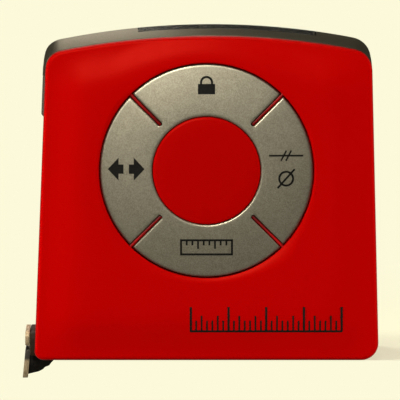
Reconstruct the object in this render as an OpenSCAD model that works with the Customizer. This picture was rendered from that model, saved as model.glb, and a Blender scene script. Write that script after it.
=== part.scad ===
// Digital pocket tape measure, standing on its flat base.
// Units are millimetres. The keys face -Y, +Z is up and the blade leaves towards -X.
// The origin is the centre of the flat base. Depths run along Y.

/* [Case] */
// Width of the case along its flat base
base_w = 70.4; // [70:0.1:71]
// Height of the covers at the crest of the arched top
crest_z = 66.4; // [66:0.1:67]
// Depth of the case from its front face to its rear face
case_d = 43; // [42.8:0.1:43.6]
// Radius of the arched top
crest_r = 157; // [140:1:180]
// Thickness of the case's walls
wall = 1.9; // [1.7:0.1:2]
// Rise of the top bezel between the two covers
crown = 1; // [0.6:0.1:1.2]

/* [Key ring] */
// Height of the key ring's centre above the base
ring_z = 38.9; // [38:0.1:40]
// Outer radius of the four keys
ring_r = 21.75; // [21:0.05:22]
// Radius of the red disc in the middle of the ring
disc_r = 10.95; // [10.5:0.05:11.5]
// Radius where the keys join their fixed hub
hub_r = 13.2; // [13:0.1:13.6]
// Width of the slots between the keys
slot_w = 0.9; // [0.7:0.05:1.2]

/* [Blade] */
// Width of the steel blade
blade_w = 19; // [18:0.5:19]
// Rise of the blade's edges over its middle where it is cupped
blade_cup = 1.6; // [1.4:0.1:1.8]
// Outer radius of the wound blade
coil_r = 22; // [21:0.1:22]
// Inner radius of the wound blade
coil_in_r = 15.3; // [15.3:0.1:16]
// Thickness of the hook's steel sheet, which is also its free play
hook_t = 0.9; // [0.8:0.05:1]

/* [Controls] */
// Travel of the thumb lock
lock_travel = 5.5; // [4:0.1:5.5]
// Width of the thumb lock's button
button_w = 13; // [10:0.5:14]

/* [Battery] */
// Diameter of the battery
battery_d = 15.6; // [15.2:0.1:15.6]
// Length of the battery
battery_l = 27; // [26.8:0.1:27]

/* [Belt clip] */
// Width of the belt clip
clip_w = 22; // [18:0.5:22]
// Room between the clip and the case
clip_gap = 4.6; // [4.5:0.1:6]

/* [Hidden] */
$fn = 64;
cut = 0.5;
front_y = -case_d / 2;
rear_y = case_d / 2;
inner_front_y = front_y + wall;
inner_rear_y = rear_y - wall;

// The case's outline: its sides lean inwards and its top is one shallow arc.
left_lean = 0.0385;
right_lean = 0.0224;
left_angle = atan(left_lean);
crest_x = 1;
arch_steps = 20;
corner_steps = 6;
corner_reach = 5;
base_left_r = 1.8;
base_right_r = 3.5;
top_left_r = 4;
top_right_r = 4.5;
smallest_r = 0.4;

// The dark bezel on top, and the display under its window
bezel_foot_z = 58.2;
bezel_proud = 0.5;
bezel_t = 2.2;
bezel_y = case_d / 2 - wall - 0.05;
bezel_stations = 8;
window_x0 = -14.2;
window_x1 = 22.6;
window_half_d = 8.5;
window_t = 1.1;
lcd_z = 62;

// The key ring
key_face_y = front_y + 0.05;
key_t = 1.3;
recess_y = front_y + 1.9;
recess_gap = 0.25;
pad_t = 1.2;
post_r = 17.5;
post_rad = 1.3;
post_end_y = recess_y + pad_t + 0.35;
key_gap = 0.15;

// Boards behind the front cover
board_y = front_y + 4.2;
board_t = 1.6;
board_back_y = board_y + board_t;
dome_h = 0.45;
board_pegs = [[-22, 16], [23, 45], [-20, 55]];

// The wound blade, the drum and the shaft
coil_x = -7.5;
coil_z = 24.8;
blade_y = 2.5;
blade_t = 0.2;
blade_half = blade_w / 2;
drum_half = blade_half + 0.2;
flange_t = 1;
flange_r = coil_r + 0.6;
drum_wall = 1.2;
shaft_r = 2.5;
shaft_gap = 0.05;
boss_r = 4.6;
divider_t = 1;
washer_t = 0.7;
washer_gap = 0.05;
divider_y = blade_y - drum_half - flange_t - washer_t - divider_t - 2 * washer_gap;
spring_turns = 8;
spring_in_r = 3.2;
spring_out_r = 13.6;
spring_t = 0.35;
spring_w = 17;

// The blade's straight run to the mouth, and the hook on its end
tongue_z = 2.35;
lip_x = -37.05;
tab_t = 0.7;
tongue_end_x = lip_x + tab_t + 0.1;
lip_low_z = -4.7;
lip_top_z = 5;
lip_break_z = 1.3;
hook_plate_z = 1.3;
rivet_xs = [-33.7, -30.4];
rivet_r = 1.1;
mouth_half = blade_half + 1.1;
mouth_in_x = -26.9;
mouth_top_z = 4.5;
bumper_half = blade_half + 2.3;
bumper_x = -36.2;
bumper_in_x = -33;
bumper_top_z = 5.3;
liner_t = 0.2;

// The thumb lock, measured along the leaning left wall
button_z0 = 48.7;
button_z1 = 57.8;
button_proud = 0.6;
arm_x = 2.2;
arm_t = 0.8;
arm_z0 = 10.5;
shoe_z0 = 8.7;
stem_z0 = 51.5;
stem_z1 = 56.8;

// The battery and its door in the rear cover
battery_x = 24.4;
battery_z0 = 5.3;
battery_y = inner_rear_y - 0.6 - battery_d / 2;
door_x0 = 15.6;
door_x1 = 33.1;
door_z0 = 4;
door_z1 = 35.4;
door_t = 1.4;
door_gap = 0.15;
door_ledge = 0.9;
toe_xs = [door_x0 + 2.4, door_x1 - 2.6];

// Screws that hold the two covers together
screws = [[-28.9, 10.5], [11.6, 5.3], [-26.5, 53.5], [28.5, 54]];
tower_r = 2.2;
head_tower_r = 3.2;
screw_r = 0.95;
screw_head_r = 2.1;
screw_seat_y = rear_y - 4.5;
screw_tip_y = -9;

// The belt clip on the rear cover
clip_x = -11;
clip_t = 0.9;
clip_top_z = 58;
clip_bend_z = 46;
clip_low_z = 12;
clip_screw_z = 52.5;

// ---- Outline of the case, inset by t ----
function unit(v) = v / norm(v);
function wrap(a) = a - 360 * round(a / 360);
function left_x(z, t) = -base_w / 2 + t + left_lean * z;
function right_x(z, t) = base_w / 2 - t - right_lean * z;
function crest_at(x, t) = crest_z - crest_r + sqrt(pow(crest_r - t, 2) - pow(x - crest_x, 2));
function top_left(t) =
    let (z = crest_at(left_x(bezel_foot_z, t), t))
    [left_x(z, t), z];
function top_right(t) =
    let (z = crest_at(right_x(bezel_foot_z, t), t))
    [right_x(z, t), z];

// Corner b between its neighbours a and c, rounded to radius r
function fillet(a, b, c, r) =
    let (u = unit(a - b))
    let (w = unit(c - b))
    let (half = acos(u * w) / 2)
    let (centre = b + unit(u + w) * r / sin(half))
    let (p = b + u * r / tan(half) - centre)
    let (q = b + w * r / tan(half) - centre)
    let (from = atan2(p.y, p.x))
    let (sweep = wrap(atan2(q.y, q.x) - from))
    [for (k = [0:corner_steps])
        let (a = from + sweep * k / corner_steps)
        centre + r * [cos(a), sin(a)]];

function arch(t) =
    let (x0 = top_right(t).x - corner_reach)
    let (x1 = top_left(t).x + corner_reach)
    [for (k = [0:arch_steps])
        let (x = x0 + (x1 - x0) * k / arch_steps)
        [x, crest_at(x, t)]];

// The outline from the foot of the right side, over the top, to the foot of the left side
function over_the_top(t, foot_z) =
    let (right_foot = [right_x(foot_z, t), foot_z])
    let (left_foot = [left_x(foot_z, t), foot_z])
    let (over = arch(t))
    concat([right_foot],
        fillet(right_foot, top_right(t), over[0], max(top_right_r - t, smallest_r)),
        over,
        fillet(over[arch_steps], top_left(t), left_foot, max(top_left_r - t, smallest_r)),
        [left_foot]);

function case_outline(t) =
    let (low_left = [left_x(t, t), t])
    let (low_right = [right_x(t, t), t])
    concat(fillet([left_x(crest_z / 2, t), crest_z / 2], low_left, low_right,
            max(base_left_r - t, smallest_r)),
        fillet(low_left, low_right, [right_x(crest_z / 2, t), crest_z / 2],
            max(base_right_r - t, smallest_r)),
        over_the_top(t, crest_z / 2));

// ---- Shapes used by several pieces ----
// A plate with the given outline in X and Z, from depth y0 to depth y1
module plate(y0, y1) {
    translate([0, y1, 0])
        rotate([90, 0, 0])
            linear_extrude(y1 - y0)
                children();
}

module case_slab(t, y0, y1) {
    plate(y0, y1)
        polygon(case_outline(t));
}

// A round bar along Y
module rod(x, z, r, y0, y1) {
    translate([x, y1, z])
        rotate([90, 0, 0])
            cylinder(h = y1 - y0, r = r);
}

module block(low, high) {
    translate(low)
        cube(high - low);
}

// A closed skin over equal rings of points. A ring runs out along one side of a sheet and back
// along the other, so each end is a strip between its two halves.
module loft(rings) {
    n = len(rings[0]);
    last = len(rings) - 1;
    sides = [for (i = [0:last - 1], k = [0:n - 1])
        let (a = i * n + k)
        let (b = i * n + (k + 1) % n)
        each [[a, a + n, b + n], [a, b + n, b]]];
    ends = [for (k = [0:n / 2 - 2])
        let (a = k)
        let (b = n - 1 - k)
        let (far = last * n)
        each [[a, a + 1, b - 1], [a, b - 1, b],
            [far + a, far + b - 1, far + a + 1], [far + a, far + b, far + b - 1]]];
    polyhedron([for (ring = rings) each ring], concat(sides, ends));
}

// Local frame of the leaning left wall: -X points out of the case and +Z runs up the wall
module on_left_wall() {
    translate([-base_w / 2, blade_y, 0])
        rotate([0, left_angle, 0])
            children();
}

module at_screws() {
    for (s = screws)
        translate([s.x, 0, s.y])
            children();
}

// ---- Covers ----
module mouth_cut() {
    block([-base_w, blade_y - mouth_half, -cut], [mouth_in_x, blade_y + mouth_half, mouth_top_z]);
    block([-base_w, blade_y - bumper_half - 0.1, -cut],
        [bumper_in_x, blade_y + bumper_half + 0.1, bumper_top_z]);
}

module lock_slot() {
    on_left_wall()
        block([-2, -4.2, stem_z0 - lock_travel - 0.4], [4, 4.2, stem_z1 + 0.4]);
}

// One half of the case, open on the side of the parting plane and under the bezel
module half_shell(y0, y1, face0, face1) {
    difference() {
        case_slab(0, y0, y1);
        case_slab(wall, face0, face1);
        block([-base_w, max(y0 - cut, -bezel_y - 0.05), bezel_foot_z],
            [base_w, min(y1 + cut, bezel_y + 0.05), crest_z + 5]);
        mouth_cut();
        lock_slot();
    }
}

module key_recess() {
    difference() {
        rod(0, ring_z, ring_r + recess_gap, front_y - cut, recess_y);
        rod(0, ring_z, disc_r, front_y - 2 * cut, recess_y + cut);
    }
}

// Thin ribs that stand in the slots between the keys
module slot_ribs() {
    mid = (hub_r + 0.6 + ring_r) / 2;
    length = ring_r - hub_r - 0.6;
    translate([0, 0, ring_z])
        for (a = [45:90:315])
            rotate([0, a, 0])
                translate([mid, (front_y + 0.6 + recess_y + cut) / 2, 0])
                    cube([length, recess_y + cut - front_y - 0.6, slot_w - 0.4], center = true);
}

module front_cover() {
    color("#c00404") {
        difference() {
            union() {
                half_shell(front_y, 0, inner_front_y, cut);
                rod(0, ring_z, ring_r + 1.6, front_y + cut, recess_y + pad_t);
                for (s = screws)
                    rod(s.x, s.y, tower_r, front_y + cut, 0);
                for (p = board_pegs)
                    rod(p.x, p.y, 1.9, front_y + cut, board_y);
            }
            key_recess();
            for (a = [0:90:270])
                rod(post_r * cos(a), ring_z + post_r * sin(a), post_rad + 0.3,
                    recess_y - cut, recess_y + pad_t + cut);
            for (s = screws)
                rod(s.x, s.y, screw_r + 0.05, screw_tip_y - 1, cut);
            for (p = board_pegs)
                rod(p.x, p.y, 0.75, board_y - 2, board_y + cut);
        }
        slot_ribs();
    }
}

module door_opening() {
    block([door_x0, rear_y - door_t - 0.05, door_z0], [door_x1, rear_y + cut, door_z1]);
    block([door_x0 + door_ledge, inner_rear_y - 2, door_z0],
        [door_x1 - door_ledge, rear_y, door_z1 - door_ledge]);
}

module rear_cover() {
    color("#c00404")
        difference() {
            union() {
                half_shell(0, rear_y, -cut, inner_rear_y);
                rod(coil_x, coil_z, boss_r, blade_y + drum_half + flange_t + washer_t + 2 * washer_gap,
                    inner_rear_y + cut);
                for (s = screws) {
                    rod(s.x, s.y, tower_r, 0, inner_rear_y + cut);
                    rod(s.x, s.y, head_tower_r, screw_seat_y - 2, inner_rear_y + cut);
                }
                rod(clip_x, clip_screw_z, 3, inner_rear_y - 3, inner_rear_y + cut);
            }
            rod(coil_x, coil_z, shaft_r, blade_y + drum_half, inner_rear_y - 0.5);
            for (s = screws) {
                rod(s.x, s.y, screw_r + 0.2, -cut, rear_y);
                rod(s.x, s.y, screw_head_r + 0.3, screw_seat_y, rear_y + cut);
            }
            rod(clip_x, clip_screw_z, 1.05, inner_rear_y - 2.5, rear_y + cut);
            door_opening();
        }
}

// ---- Top bezel and display ----
function across(y) = 1 - pow(y / bezel_y, 2);
function ramp(t) = min(1, max(0, t));
function lifted(p, y) = [
    p.x - bezel_proud * ramp((-28 - p.x) / 4),
    y,
    p.y + crown * across(y) * ramp((p.y - bezel_foot_z) / 3)];
function reversed(list) = [for (k = [len(list) - 1:-1:0]) list[k]];
function bezel_ring(y) = concat(
    [for (p = over_the_top(0, bezel_foot_z)) lifted(p, y)],
    [for (p = reversed(over_the_top(bezel_t, bezel_foot_z))) [p.x, y, p.y]]);
function window_top(x, y) = crest_at(x, 0) + crown * across(y) - 0.05;
function window_ring(y, x0, x1) = concat(
    [for (k = [0:arch_steps]) let (x = x1 + (x0 - x1) * k / arch_steps) [x, y, window_top(x, y)]],
    [for (k = [0:arch_steps])
        let (x = x0 + (x1 - x0) * k / arch_steps)
        [x, y, window_top(x, y) - window_t]]);

module top_bezel() {
    color("#2b2926")
        difference() {
            loft([for (k = [0:bezel_stations]) bezel_ring(bezel_y * (2 * k / bezel_stations - 1))]);
            block([window_x0, -window_half_d, 55], [window_x1, window_half_d, 75]);
        }
}

module display_window() {
    gap = 0.1;
    half = window_half_d - gap;
    color("#20242a", 0.6)
        loft([for (k = [0:6]) window_ring(half * (k / 3 - 1), window_x0 + gap, window_x1 - gap)]);
}

module display_panel() {
    color("#8b9484")
        block([window_x0 + 1.6, -7.4, lcd_z], [window_x1 - 1.6, 7.4, lcd_z + 1.6]);
}

module display_board() {
    color("#1f5c34")
        block([window_x0 + 0.6, -9.5, lcd_z - 1.1], [window_x1 - 0.6, 9.5, lcd_z - 0.1]);
}

module display_cable() {
    top = lcd_z - 1.15;
    flex_t = 0.2;
    color("#b46a1e") {
        block([1, board_back_y + 0.05, top - flex_t], [9, -7, top]);
        block([1, board_back_y + 0.05, 49], [9, board_back_y + 0.05 + flex_t, top]);
    }
}

// ---- Keys ----
// The key that points up; the others are turned copies
module key_plate() {
    slot = slot_w / sqrt(2);
    far = 2 * ring_r;
    intersection() {
        difference() {
            rod(0, 0, ring_r, key_face_y, key_face_y + key_t);
            rod(0, 0, hub_r + key_gap, key_face_y - cut, key_face_y + key_t + cut);
        }
        plate(key_face_y - cut, key_face_y + key_t + cut)
            polygon([[0, slot], [far, slot + far], [-far, slot + far]]);
    }
    rod(0, post_r, post_rad, key_face_y + key_t, post_end_y);
}

module key(turn) {
    color("#a8a08c")
        translate([0, 0, ring_z])
            rotate([0, turn, 0])
                key_plate();
}

module hold_key() { key(0); }
module centre_key() { key(90); }
module units_key() { key(180); }
module offset_key() { key(270); }

module key_hub() {
    color("#a8a08c")
        difference() {
            rod(0, ring_z, hub_r, key_face_y, recess_y);
            rod(0, ring_z, disc_r + 0.15, front_y - cut, recess_y + cut);
        }
}

// ---- Boards ----
module board_holes(y0, y1) {
    for (s = screws)
        rod(s.x, s.y, tower_r + 0.4, y0, y1);
}

module main_board() {
    color("#1f5c34")
        difference() {
            intersection() {
                case_slab(wall + 1, board_y, board_back_y);
                block([-base_w, -case_d, 4], [base_w, case_d, 58.5]);
            }
            board_holes(board_y - cut, board_back_y + cut);
            for (p = board_pegs)
                rod(p.x, p.y, 0.75, board_y - cut, board_back_y + cut);
        }
}

module key_domes() {
    color("#c8ccd0")
        for (a = [0:90:270])
            rod(post_r * cos(a), ring_z + post_r * sin(a), 2.4, board_y - dome_h, board_y);
}

module board_chips() {
    color("#1b1b1d") {
        block([-5, board_back_y, 32], [5, board_back_y + 1.4, 42]);
        block([10, board_back_y, 44], [16, board_back_y + 1.4, 49]);
        block([-18, board_back_y, 40], [-12, board_back_y + 1.2, 44]);
    }
    color("#c9c4b8") {
        block([-4, board_back_y, 25], [4, board_back_y + 2.6, 28]);
        rod(18, 34, 4.5, board_back_y, board_back_y + 2.4);
    }
}

module board_screws() {
    color("silver")
        for (p = board_pegs) {
            rod(p.x, p.y, 1.5, board_back_y, board_back_y + 0.8);
            rod(p.x, p.y, 0.7, board_y - 1.6, board_back_y + 0.1);
        }
}

// ---- Drum, spring and wound blade ----
module drum_divider() {
    color("#232323")
        difference() {
            intersection() {
                case_slab(wall + 0.3, divider_y, divider_y + divider_t);
                block([-base_w, -case_d, 0], [14.8, case_d, 51]);
            }
            rod(coil_x, coil_z, shaft_r, divider_y - cut, divider_y + divider_t + cut);
            board_holes(divider_y - cut, divider_y + divider_t + cut);
        }
}

module drum_shaft() {
    slot_t = 0.6;
    color("silver")
        difference() {
            rod(coil_x, coil_z, shaft_r, divider_y - 1, inner_rear_y - 0.6);
            block([coil_x - shaft_r - cut, blade_y - spring_w / 2, coil_z - slot_t / 2],
                [coil_x + shaft_r + cut, blade_y + spring_w / 2, coil_z + slot_t / 2]);
        }
}

module washer(y) {
    difference() {
        rod(coil_x, coil_z, boss_r, y, y + washer_t);
        rod(coil_x, coil_z, shaft_r + shaft_gap, y - cut, y + washer_t + cut);
    }
}

module thrust_washers() {
    color("#e8e4d8") {
        washer(divider_y + divider_t + washer_gap);
        washer(blade_y + drum_half + flange_t + washer_gap);
    }
}

function spiral_at(turn, side) =
    let (r = spring_in_r + (spring_out_r - spring_in_r) * turn / spring_turns + side)
    [r * cos(360 * turn), r * sin(360 * turn)];

module power_spring() {
    steps = spring_turns * 24;
    outer = [for (k = [0:steps]) spiral_at(k / 24, spring_t)];
    inner = [for (k = [steps:-1:0]) spiral_at(k / 24, 0)];
    color("#4f5661")
        translate([coil_x, 0, coil_z])
            plate(blade_y - spring_w / 2, blade_y + spring_w / 2)
                polygon(concat(outer, inner));
}

module flange(y) {
    difference() {
        rod(coil_x, coil_z, flange_r, y, y + flange_t);
        rod(coil_x, coil_z, shaft_r + shaft_gap, y - cut, y + flange_t + cut);
    }
}

module blade_drum() {
    color("#d9d5ca") {
        flange(blade_y + drum_half);
        difference() {
            rod(coil_x, coil_z, coil_in_r - 0.05, blade_y - drum_half, blade_y + drum_half);
            rod(coil_x, coil_z, coil_in_r - 0.05 - drum_wall, blade_y - drum_half - cut,
                blade_y + drum_half + cut);
        }
    }
}

module drum_cap() {
    color("#d9d5ca")
        flange(blade_y - drum_half - flange_t);
}

module blade_coil() {
    color("#e3b92c")
        difference() {
            rod(coil_x, coil_z, coil_r, blade_y - blade_half, blade_y + blade_half);
            rod(coil_x, coil_z, coil_in_r, blade_y - blade_half - cut, blade_y + blade_half + cut);
        }
}

// ---- Blade end and hook ----
// The blade is flat where it leaves the coil and cupped where it leaves the mouth.
tongue_start_z = coil_z - coil_r - 0.15;
tongue_steps = 8;
tongue_strips = 8;
function smooth(t) = let (u = min(1, max(0, t))) u * u * (3 - 2 * u);
function tongue_cup(x) = blade_cup * smooth((coil_x - 2.5 - x) / 20);
function tongue_mid_z(x) =
    tongue_start_z + (tongue_z - tongue_start_z) * smooth((coil_x - x) / 18);
function tongue_edge(x, y, side) =
    [x, blade_y + y, tongue_mid_z(x) + tongue_cup(x) * pow(y / blade_half, 2) + side];
function tongue_ring(x) = concat(
    [for (k = [0:tongue_strips])
        tongue_edge(x, blade_half * (2 * k / tongue_strips - 1), -blade_t / 2)],
    [for (k = [tongue_strips:-1:0])
        tongue_edge(x, blade_half * (2 * k / tongue_strips - 1), blade_t / 2)]);

module blade_tongue() {
    color("#e3b92c")
        loft([for (k = [0:tongue_steps])
            tongue_ring(tongue_end_x + (coil_x - tongue_end_x) * k / tongue_steps)]);
}

module hook_rivets() {
    head_t = 0.45;
    head_r = 1.9;
    top = tongue_z + 0.25;
    color("silver")
        for (x = rivet_xs)
            translate([x, blade_y, 0]) {
                translate([0, 0, hook_plate_z - head_t - 0.05])
                    cylinder(h = head_t, r = head_r);
                translate([0, 0, hook_plate_z - head_t])
                    cylinder(h = top - hook_plate_z + head_t, r = rivet_r);
                translate([0, 0, top])
                    cylinder(h = head_t, r = head_r);
            }
}

// Side view of the hook's lip, its upper tab and the notch between them
module lip_profile() {
    polygon([
        [lip_x + 0.1, lip_top_z - 0.7],
        [lip_x + tab_t, lip_top_z],
        [lip_x + tab_t, lip_break_z + 0.8],
        [lip_x + 1.4, lip_break_z + 0.8],
        [lip_x + 1.4, lip_break_z - 0.4],
        [lip_x + 0.85, lip_break_z - 0.7],
        [lip_x + 0.35, lip_low_z],
        [lip_x - 0.3, lip_low_z + 0.1],
        [lip_x - 0.55, lip_low_z + 0.6],
        [lip_x - 0.05, lip_break_z - 0.2],
        [lip_x + hook_t - 0.1, lip_break_z + 0.1],
        [lip_x, lip_break_z + 1]
    ]);
}

module end_hook() {
    half = blade_half + 0.2;
    gusset_in = 1.3;
    plate_end_x = rivet_xs[1] + 3;
    color("#7c7468")
        difference() {
            union() {
                plate(blade_y - half, blade_y + half)
                    lip_profile();
                block([lip_x + 1.2, blade_y - 5.5, hook_plate_z],
                    [plate_end_x, blade_y + 5.5, hook_plate_z + hook_t - 0.05]);
                for (side = [-1, 1])
                    plate(blade_y + side * (half - gusset_in) - hook_t / 2,
                            blade_y + side * (half - gusset_in) + hook_t / 2)
                        polygon([[lip_x + 0.3, lip_low_z + 0.7], [-34.4, -3.8], [-31.4, -1.7],
                            [-31.4, hook_plate_z + 0.3], [lip_x + 1.2, hook_plate_z + 0.3],
                            [lip_x + 0.6, hook_plate_z - 0.8]]);
                for (side = [-1, 1])
                    block([lip_x + 1.2, blade_y + side * 7 - 2, hook_plate_z - 0.6],
                        [-32.4, blade_y + side * 7 + 2, hook_plate_z + 0.3]);
            }
            for (x = rivet_xs)
                block([x - rivet_r - 0.1, blade_y - rivet_r - 0.1, hook_plate_z - cut],
                    [x + rivet_r + hook_t + 0.1, blade_y + rivet_r + 0.1, hook_plate_z + 2]);
            translate([-base_w, blade_y, lip_low_z + 2.2])
                rotate([0, 90, 0])
                    cylinder(h = base_w, r = 1.6);
            block([-base_w, blade_y - 1.6, lip_low_z - cut], [-30, blade_y + 1.6, lip_low_z + 2.2]);
        }
}

// ---- Thumb lock ----
module lock_button() {
    ridge_step = 1.8;
    ridge_y = button_w / 2 - 1;
    color("#2a2623")
        on_left_wall() {
            block([-0.35, -button_w / 2, button_z0], [-0.1, button_w / 2, button_z1]);
            for (z = [button_z0 + 0.6:ridge_step:button_z1 - 0.9])
                block([-button_proud, -ridge_y, z], [-0.3, ridge_y, z + 0.9]);
            block([-0.2, -3.8, stem_z0], [arm_x, 3.8, stem_z1]);
        }
}

module lock_arm() {
    color("#8f9296")
        on_left_wall()
            block([arm_x, -4, arm_z0], [arm_x + arm_t, 4, stem_z1]);
}

module lock_shoe() {
    color("#161616")
        on_left_wall()
        block([arm_x - 0.1, -4, shoe_z0], [arm_x + 1.3, 4, arm_z0]);
}

// ---- Mouth and reader ----
module mouth_bumper() {
    color("#241c16")
        difference() {
            block([bumper_x, blade_y - bumper_half, 0.1],
                [bumper_in_x - 0.1, blade_y + bumper_half, bumper_top_z - 0.1]);
            block([bumper_x - cut, blade_y - mouth_half, -cut],
                [bumper_in_x, blade_y + mouth_half, mouth_top_z]);
        }
}

module mouth_liner() {
    color("#d8d8d4")
        block([mouth_in_x + 0.2, blade_y - blade_half - 0.3, wall],
            [-17, blade_y + blade_half + 0.3, wall + liner_t]);
}

module reader_board() {
    color("#1f5c34")
        block([-29.6, blade_y - 6, 6.9], [-23, blade_y + 6, 7.7]);
}

module reader_sensor() {
    color("#1b1b1d")
        block([-28.4, blade_y - 2.5, 5.5], [-24.4, blade_y + 2.5, 6.9]);
}

// ---- Battery ----
module battery() {
    color("#8d9aa8")
        translate([battery_x, battery_y, battery_z0]) {
            cylinder(h = battery_l - 0.6, d = battery_d);
            cylinder(h = battery_l, r = 3.2);
        }
}

module battery_contacts() {
    plate_half = 4.5;
    top = battery_z0 + battery_l;
    color("silver") {
        block([battery_x - plate_half, battery_y - plate_half, battery_z0 - 1.5],
            [battery_x + plate_half, battery_y + plate_half, battery_z0 - 1.1]);
        translate([battery_x, battery_y, battery_z0 - 1.1])
            cylinder(h = 0.5, r = 3);
        translate([battery_x, battery_y, battery_z0 - 0.6])
            cylinder(h = 0.6, r = 2);
        block([battery_x - plate_half, battery_y - plate_half, top],
            [battery_x + plate_half, battery_y + plate_half, top + 0.4]);
    }
}

module battery_door() {
    color("#c00404")
        difference() {
            union() {
                block([door_x0 + door_gap, rear_y - door_t, door_z0 + door_gap],
                    [door_x1 - door_gap, rear_y, door_z1 - door_gap]);
                for (x = toe_xs)
                    block([x - 1, inner_rear_y - 1.1, door_z0 - 1.2],
                        [x + 1, inner_rear_y - 0.1, door_z0 + 1.2]);
                for (x = toe_xs)
                    block([x - 1, inner_rear_y - 0.2, door_z0 + door_gap],
                        [x + 1, rear_y - door_t + 0.1, door_z0 + 1.2]);
            }
            for (k = [0:2])
                block([battery_x - 4, rear_y - 0.5, door_z1 - 4 - 1.6 * k],
                    [battery_x + 4, rear_y + cut, door_z1 - 3.2 - 1.6 * k]);
        }
}

// ---- Fasteners and belt clip ----
module case_screws() {
    color("#3a3a3c")
        at_screws() {
            rod(0, 0, screw_head_r, screw_seat_y, screw_seat_y + 1.5);
            rod(0, 0, screw_r, screw_tip_y, screw_seat_y + cut);
        }
}

module belt_clip_foot() {
    color("#b9bbbd")
        difference() {
            block([clip_x - clip_w / 2, rear_y, clip_bend_z + 0.1],
                [clip_x + clip_w / 2, rear_y + clip_t, clip_top_z]);
            rod(clip_x, clip_screw_z, 1.3, rear_y - cut, rear_y + 2);
        }
}

module belt_clip_tongue() {
    out = rear_y + clip_gap + 0.1;
    half = clip_w / 2;
    color("#b9bbbd") {
        block([clip_x - half, rear_y + 0.1, clip_bend_z - clip_t], [clip_x + half, out, clip_bend_z]);
        block([clip_x - half, out, clip_low_z], [clip_x + half, out + clip_t, clip_bend_z]);
        block([clip_x - half, rear_y + 0.5, clip_low_z], [clip_x + half, out, clip_low_z + clip_t]);
    }
}

module clip_screw() {
    color("#3a3a3c") {
        rod(clip_x, clip_screw_z, 2.6, rear_y + clip_t, rear_y + clip_t + 1.2);
        rod(clip_x, clip_screw_z, 1, inner_rear_y - 2, rear_y + clip_t + 0.1);
    }
}

front_cover();
rear_cover();
top_bezel();
display_window();
display_panel();
display_board();
display_cable();
key_hub();
hold_key();
units_key();
offset_key();
centre_key();
key_domes();
main_board();
board_chips();
board_screws();
drum_divider();
drum_shaft();
thrust_washers();
power_spring();
blade_drum();
drum_cap();
blade_coil();
blade_tongue();
hook_rivets();
end_hook();
lock_button();
lock_arm();
lock_shoe();
mouth_bumper();
mouth_liner();
reader_board();
reader_sensor();
battery();
battery_contacts();
battery_door();
case_screws();
belt_clip_foot();
belt_clip_tongue();
clip_screw();
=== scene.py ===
"""Digital pocket tape measure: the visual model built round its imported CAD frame.

Sizes are millimetres in the CAD frame: keys face -Y, +Z is up, the blade leaves towards -X and the
origin is the centre of the flat base. MM turns them into Blender's metres.
"""

from math import asin, atan, cos, degrees, hypot, pi, radians, sin, sqrt

import bmesh
import bpy
from mathutils import Matrix, Vector

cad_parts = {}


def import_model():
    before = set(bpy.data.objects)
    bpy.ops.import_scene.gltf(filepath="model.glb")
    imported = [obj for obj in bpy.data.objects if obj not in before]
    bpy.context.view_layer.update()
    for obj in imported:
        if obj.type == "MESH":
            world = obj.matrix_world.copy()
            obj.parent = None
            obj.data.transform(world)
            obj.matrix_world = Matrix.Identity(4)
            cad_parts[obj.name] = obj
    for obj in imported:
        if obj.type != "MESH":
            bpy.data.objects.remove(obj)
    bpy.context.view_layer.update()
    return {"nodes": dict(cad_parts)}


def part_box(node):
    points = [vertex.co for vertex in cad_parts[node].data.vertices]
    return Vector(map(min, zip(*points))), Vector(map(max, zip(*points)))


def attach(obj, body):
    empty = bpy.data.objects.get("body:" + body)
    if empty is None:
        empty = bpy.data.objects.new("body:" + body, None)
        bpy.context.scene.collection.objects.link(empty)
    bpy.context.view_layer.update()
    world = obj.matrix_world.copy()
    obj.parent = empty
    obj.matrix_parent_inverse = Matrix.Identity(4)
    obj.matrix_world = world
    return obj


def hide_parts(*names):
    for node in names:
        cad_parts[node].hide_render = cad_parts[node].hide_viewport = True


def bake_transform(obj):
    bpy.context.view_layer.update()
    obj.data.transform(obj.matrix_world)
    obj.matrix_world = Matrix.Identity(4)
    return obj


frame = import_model()

MM = 0.001


def box(node):
    """Lowest and highest corner of a CAD node, in millimetres."""
    lo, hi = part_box(node)
    return lo / MM, hi / MM


# ---- Driving sizes ----
# The outline of the case: leaning sides and one shallow arc over the top
BASE_W = 70.4
CREST_Z = 66.4
CREST_R = 157.0
CREST_X = 1.0
LEFT_LEAN = 0.0385
RIGHT_LEAN = 0.0224
BASE_LEFT_R = 1.8
BASE_RIGHT_R = 3.5
TOP_LEFT_R = 4.0
TOP_RIGHT_R = 4.5
OUTLINE_STEP = 1.4

front_lo, front_hi = box("front_cover")
rear_lo, rear_hi = box("rear_cover")
bezel_lo, bezel_hi = box("top_bezel")
hub_lo, hub_hi = box("key_hub")
hold_lo, hold_hi = box("hold_key")
window_lo, window_hi = box("display_window")
door_lo, door_hi = box("battery_door")
tongue_lo, tongue_hi = box("blade_tongue")
bumper_lo, bumper_hi = box("mouth_bumper")
clip_lo, clip_hi = box("belt_clip_tongue")
foot_lo, foot_hi = box("belt_clip_foot")

FRONT_Y = front_lo.y
REAR_Y = rear_hi.y
FOOT_Z = bezel_lo.z
BEZEL_Y = bezel_hi.y
WALL = 1.7

# The soft pillow of both faces and the rounding of their edges
PILLOW = 1.1
PILLOW_W = 9.5
RING_ROOM = 8.0
EDGE_R = 0.75

# The key ring
RING_X = (hub_lo.x + hub_hi.x) / 2
RING_Z = (hub_lo.z + hub_hi.z) / 2
HUB_R = (hub_hi.x - hub_lo.x) / 2
RING_R = hold_hi.z - RING_Z
DISC_R = 10.95
RECESS_R = RING_R + 0.25
RECESS_Y = hub_hi.y
KEY_Y = hub_lo.y
KEY_T = 1.3
SLOT_HALF = 0.45
SLOT_END_R = 13.0


# ---- Meshes ----
def collection():
    return bpy.context.scene.collection


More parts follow.
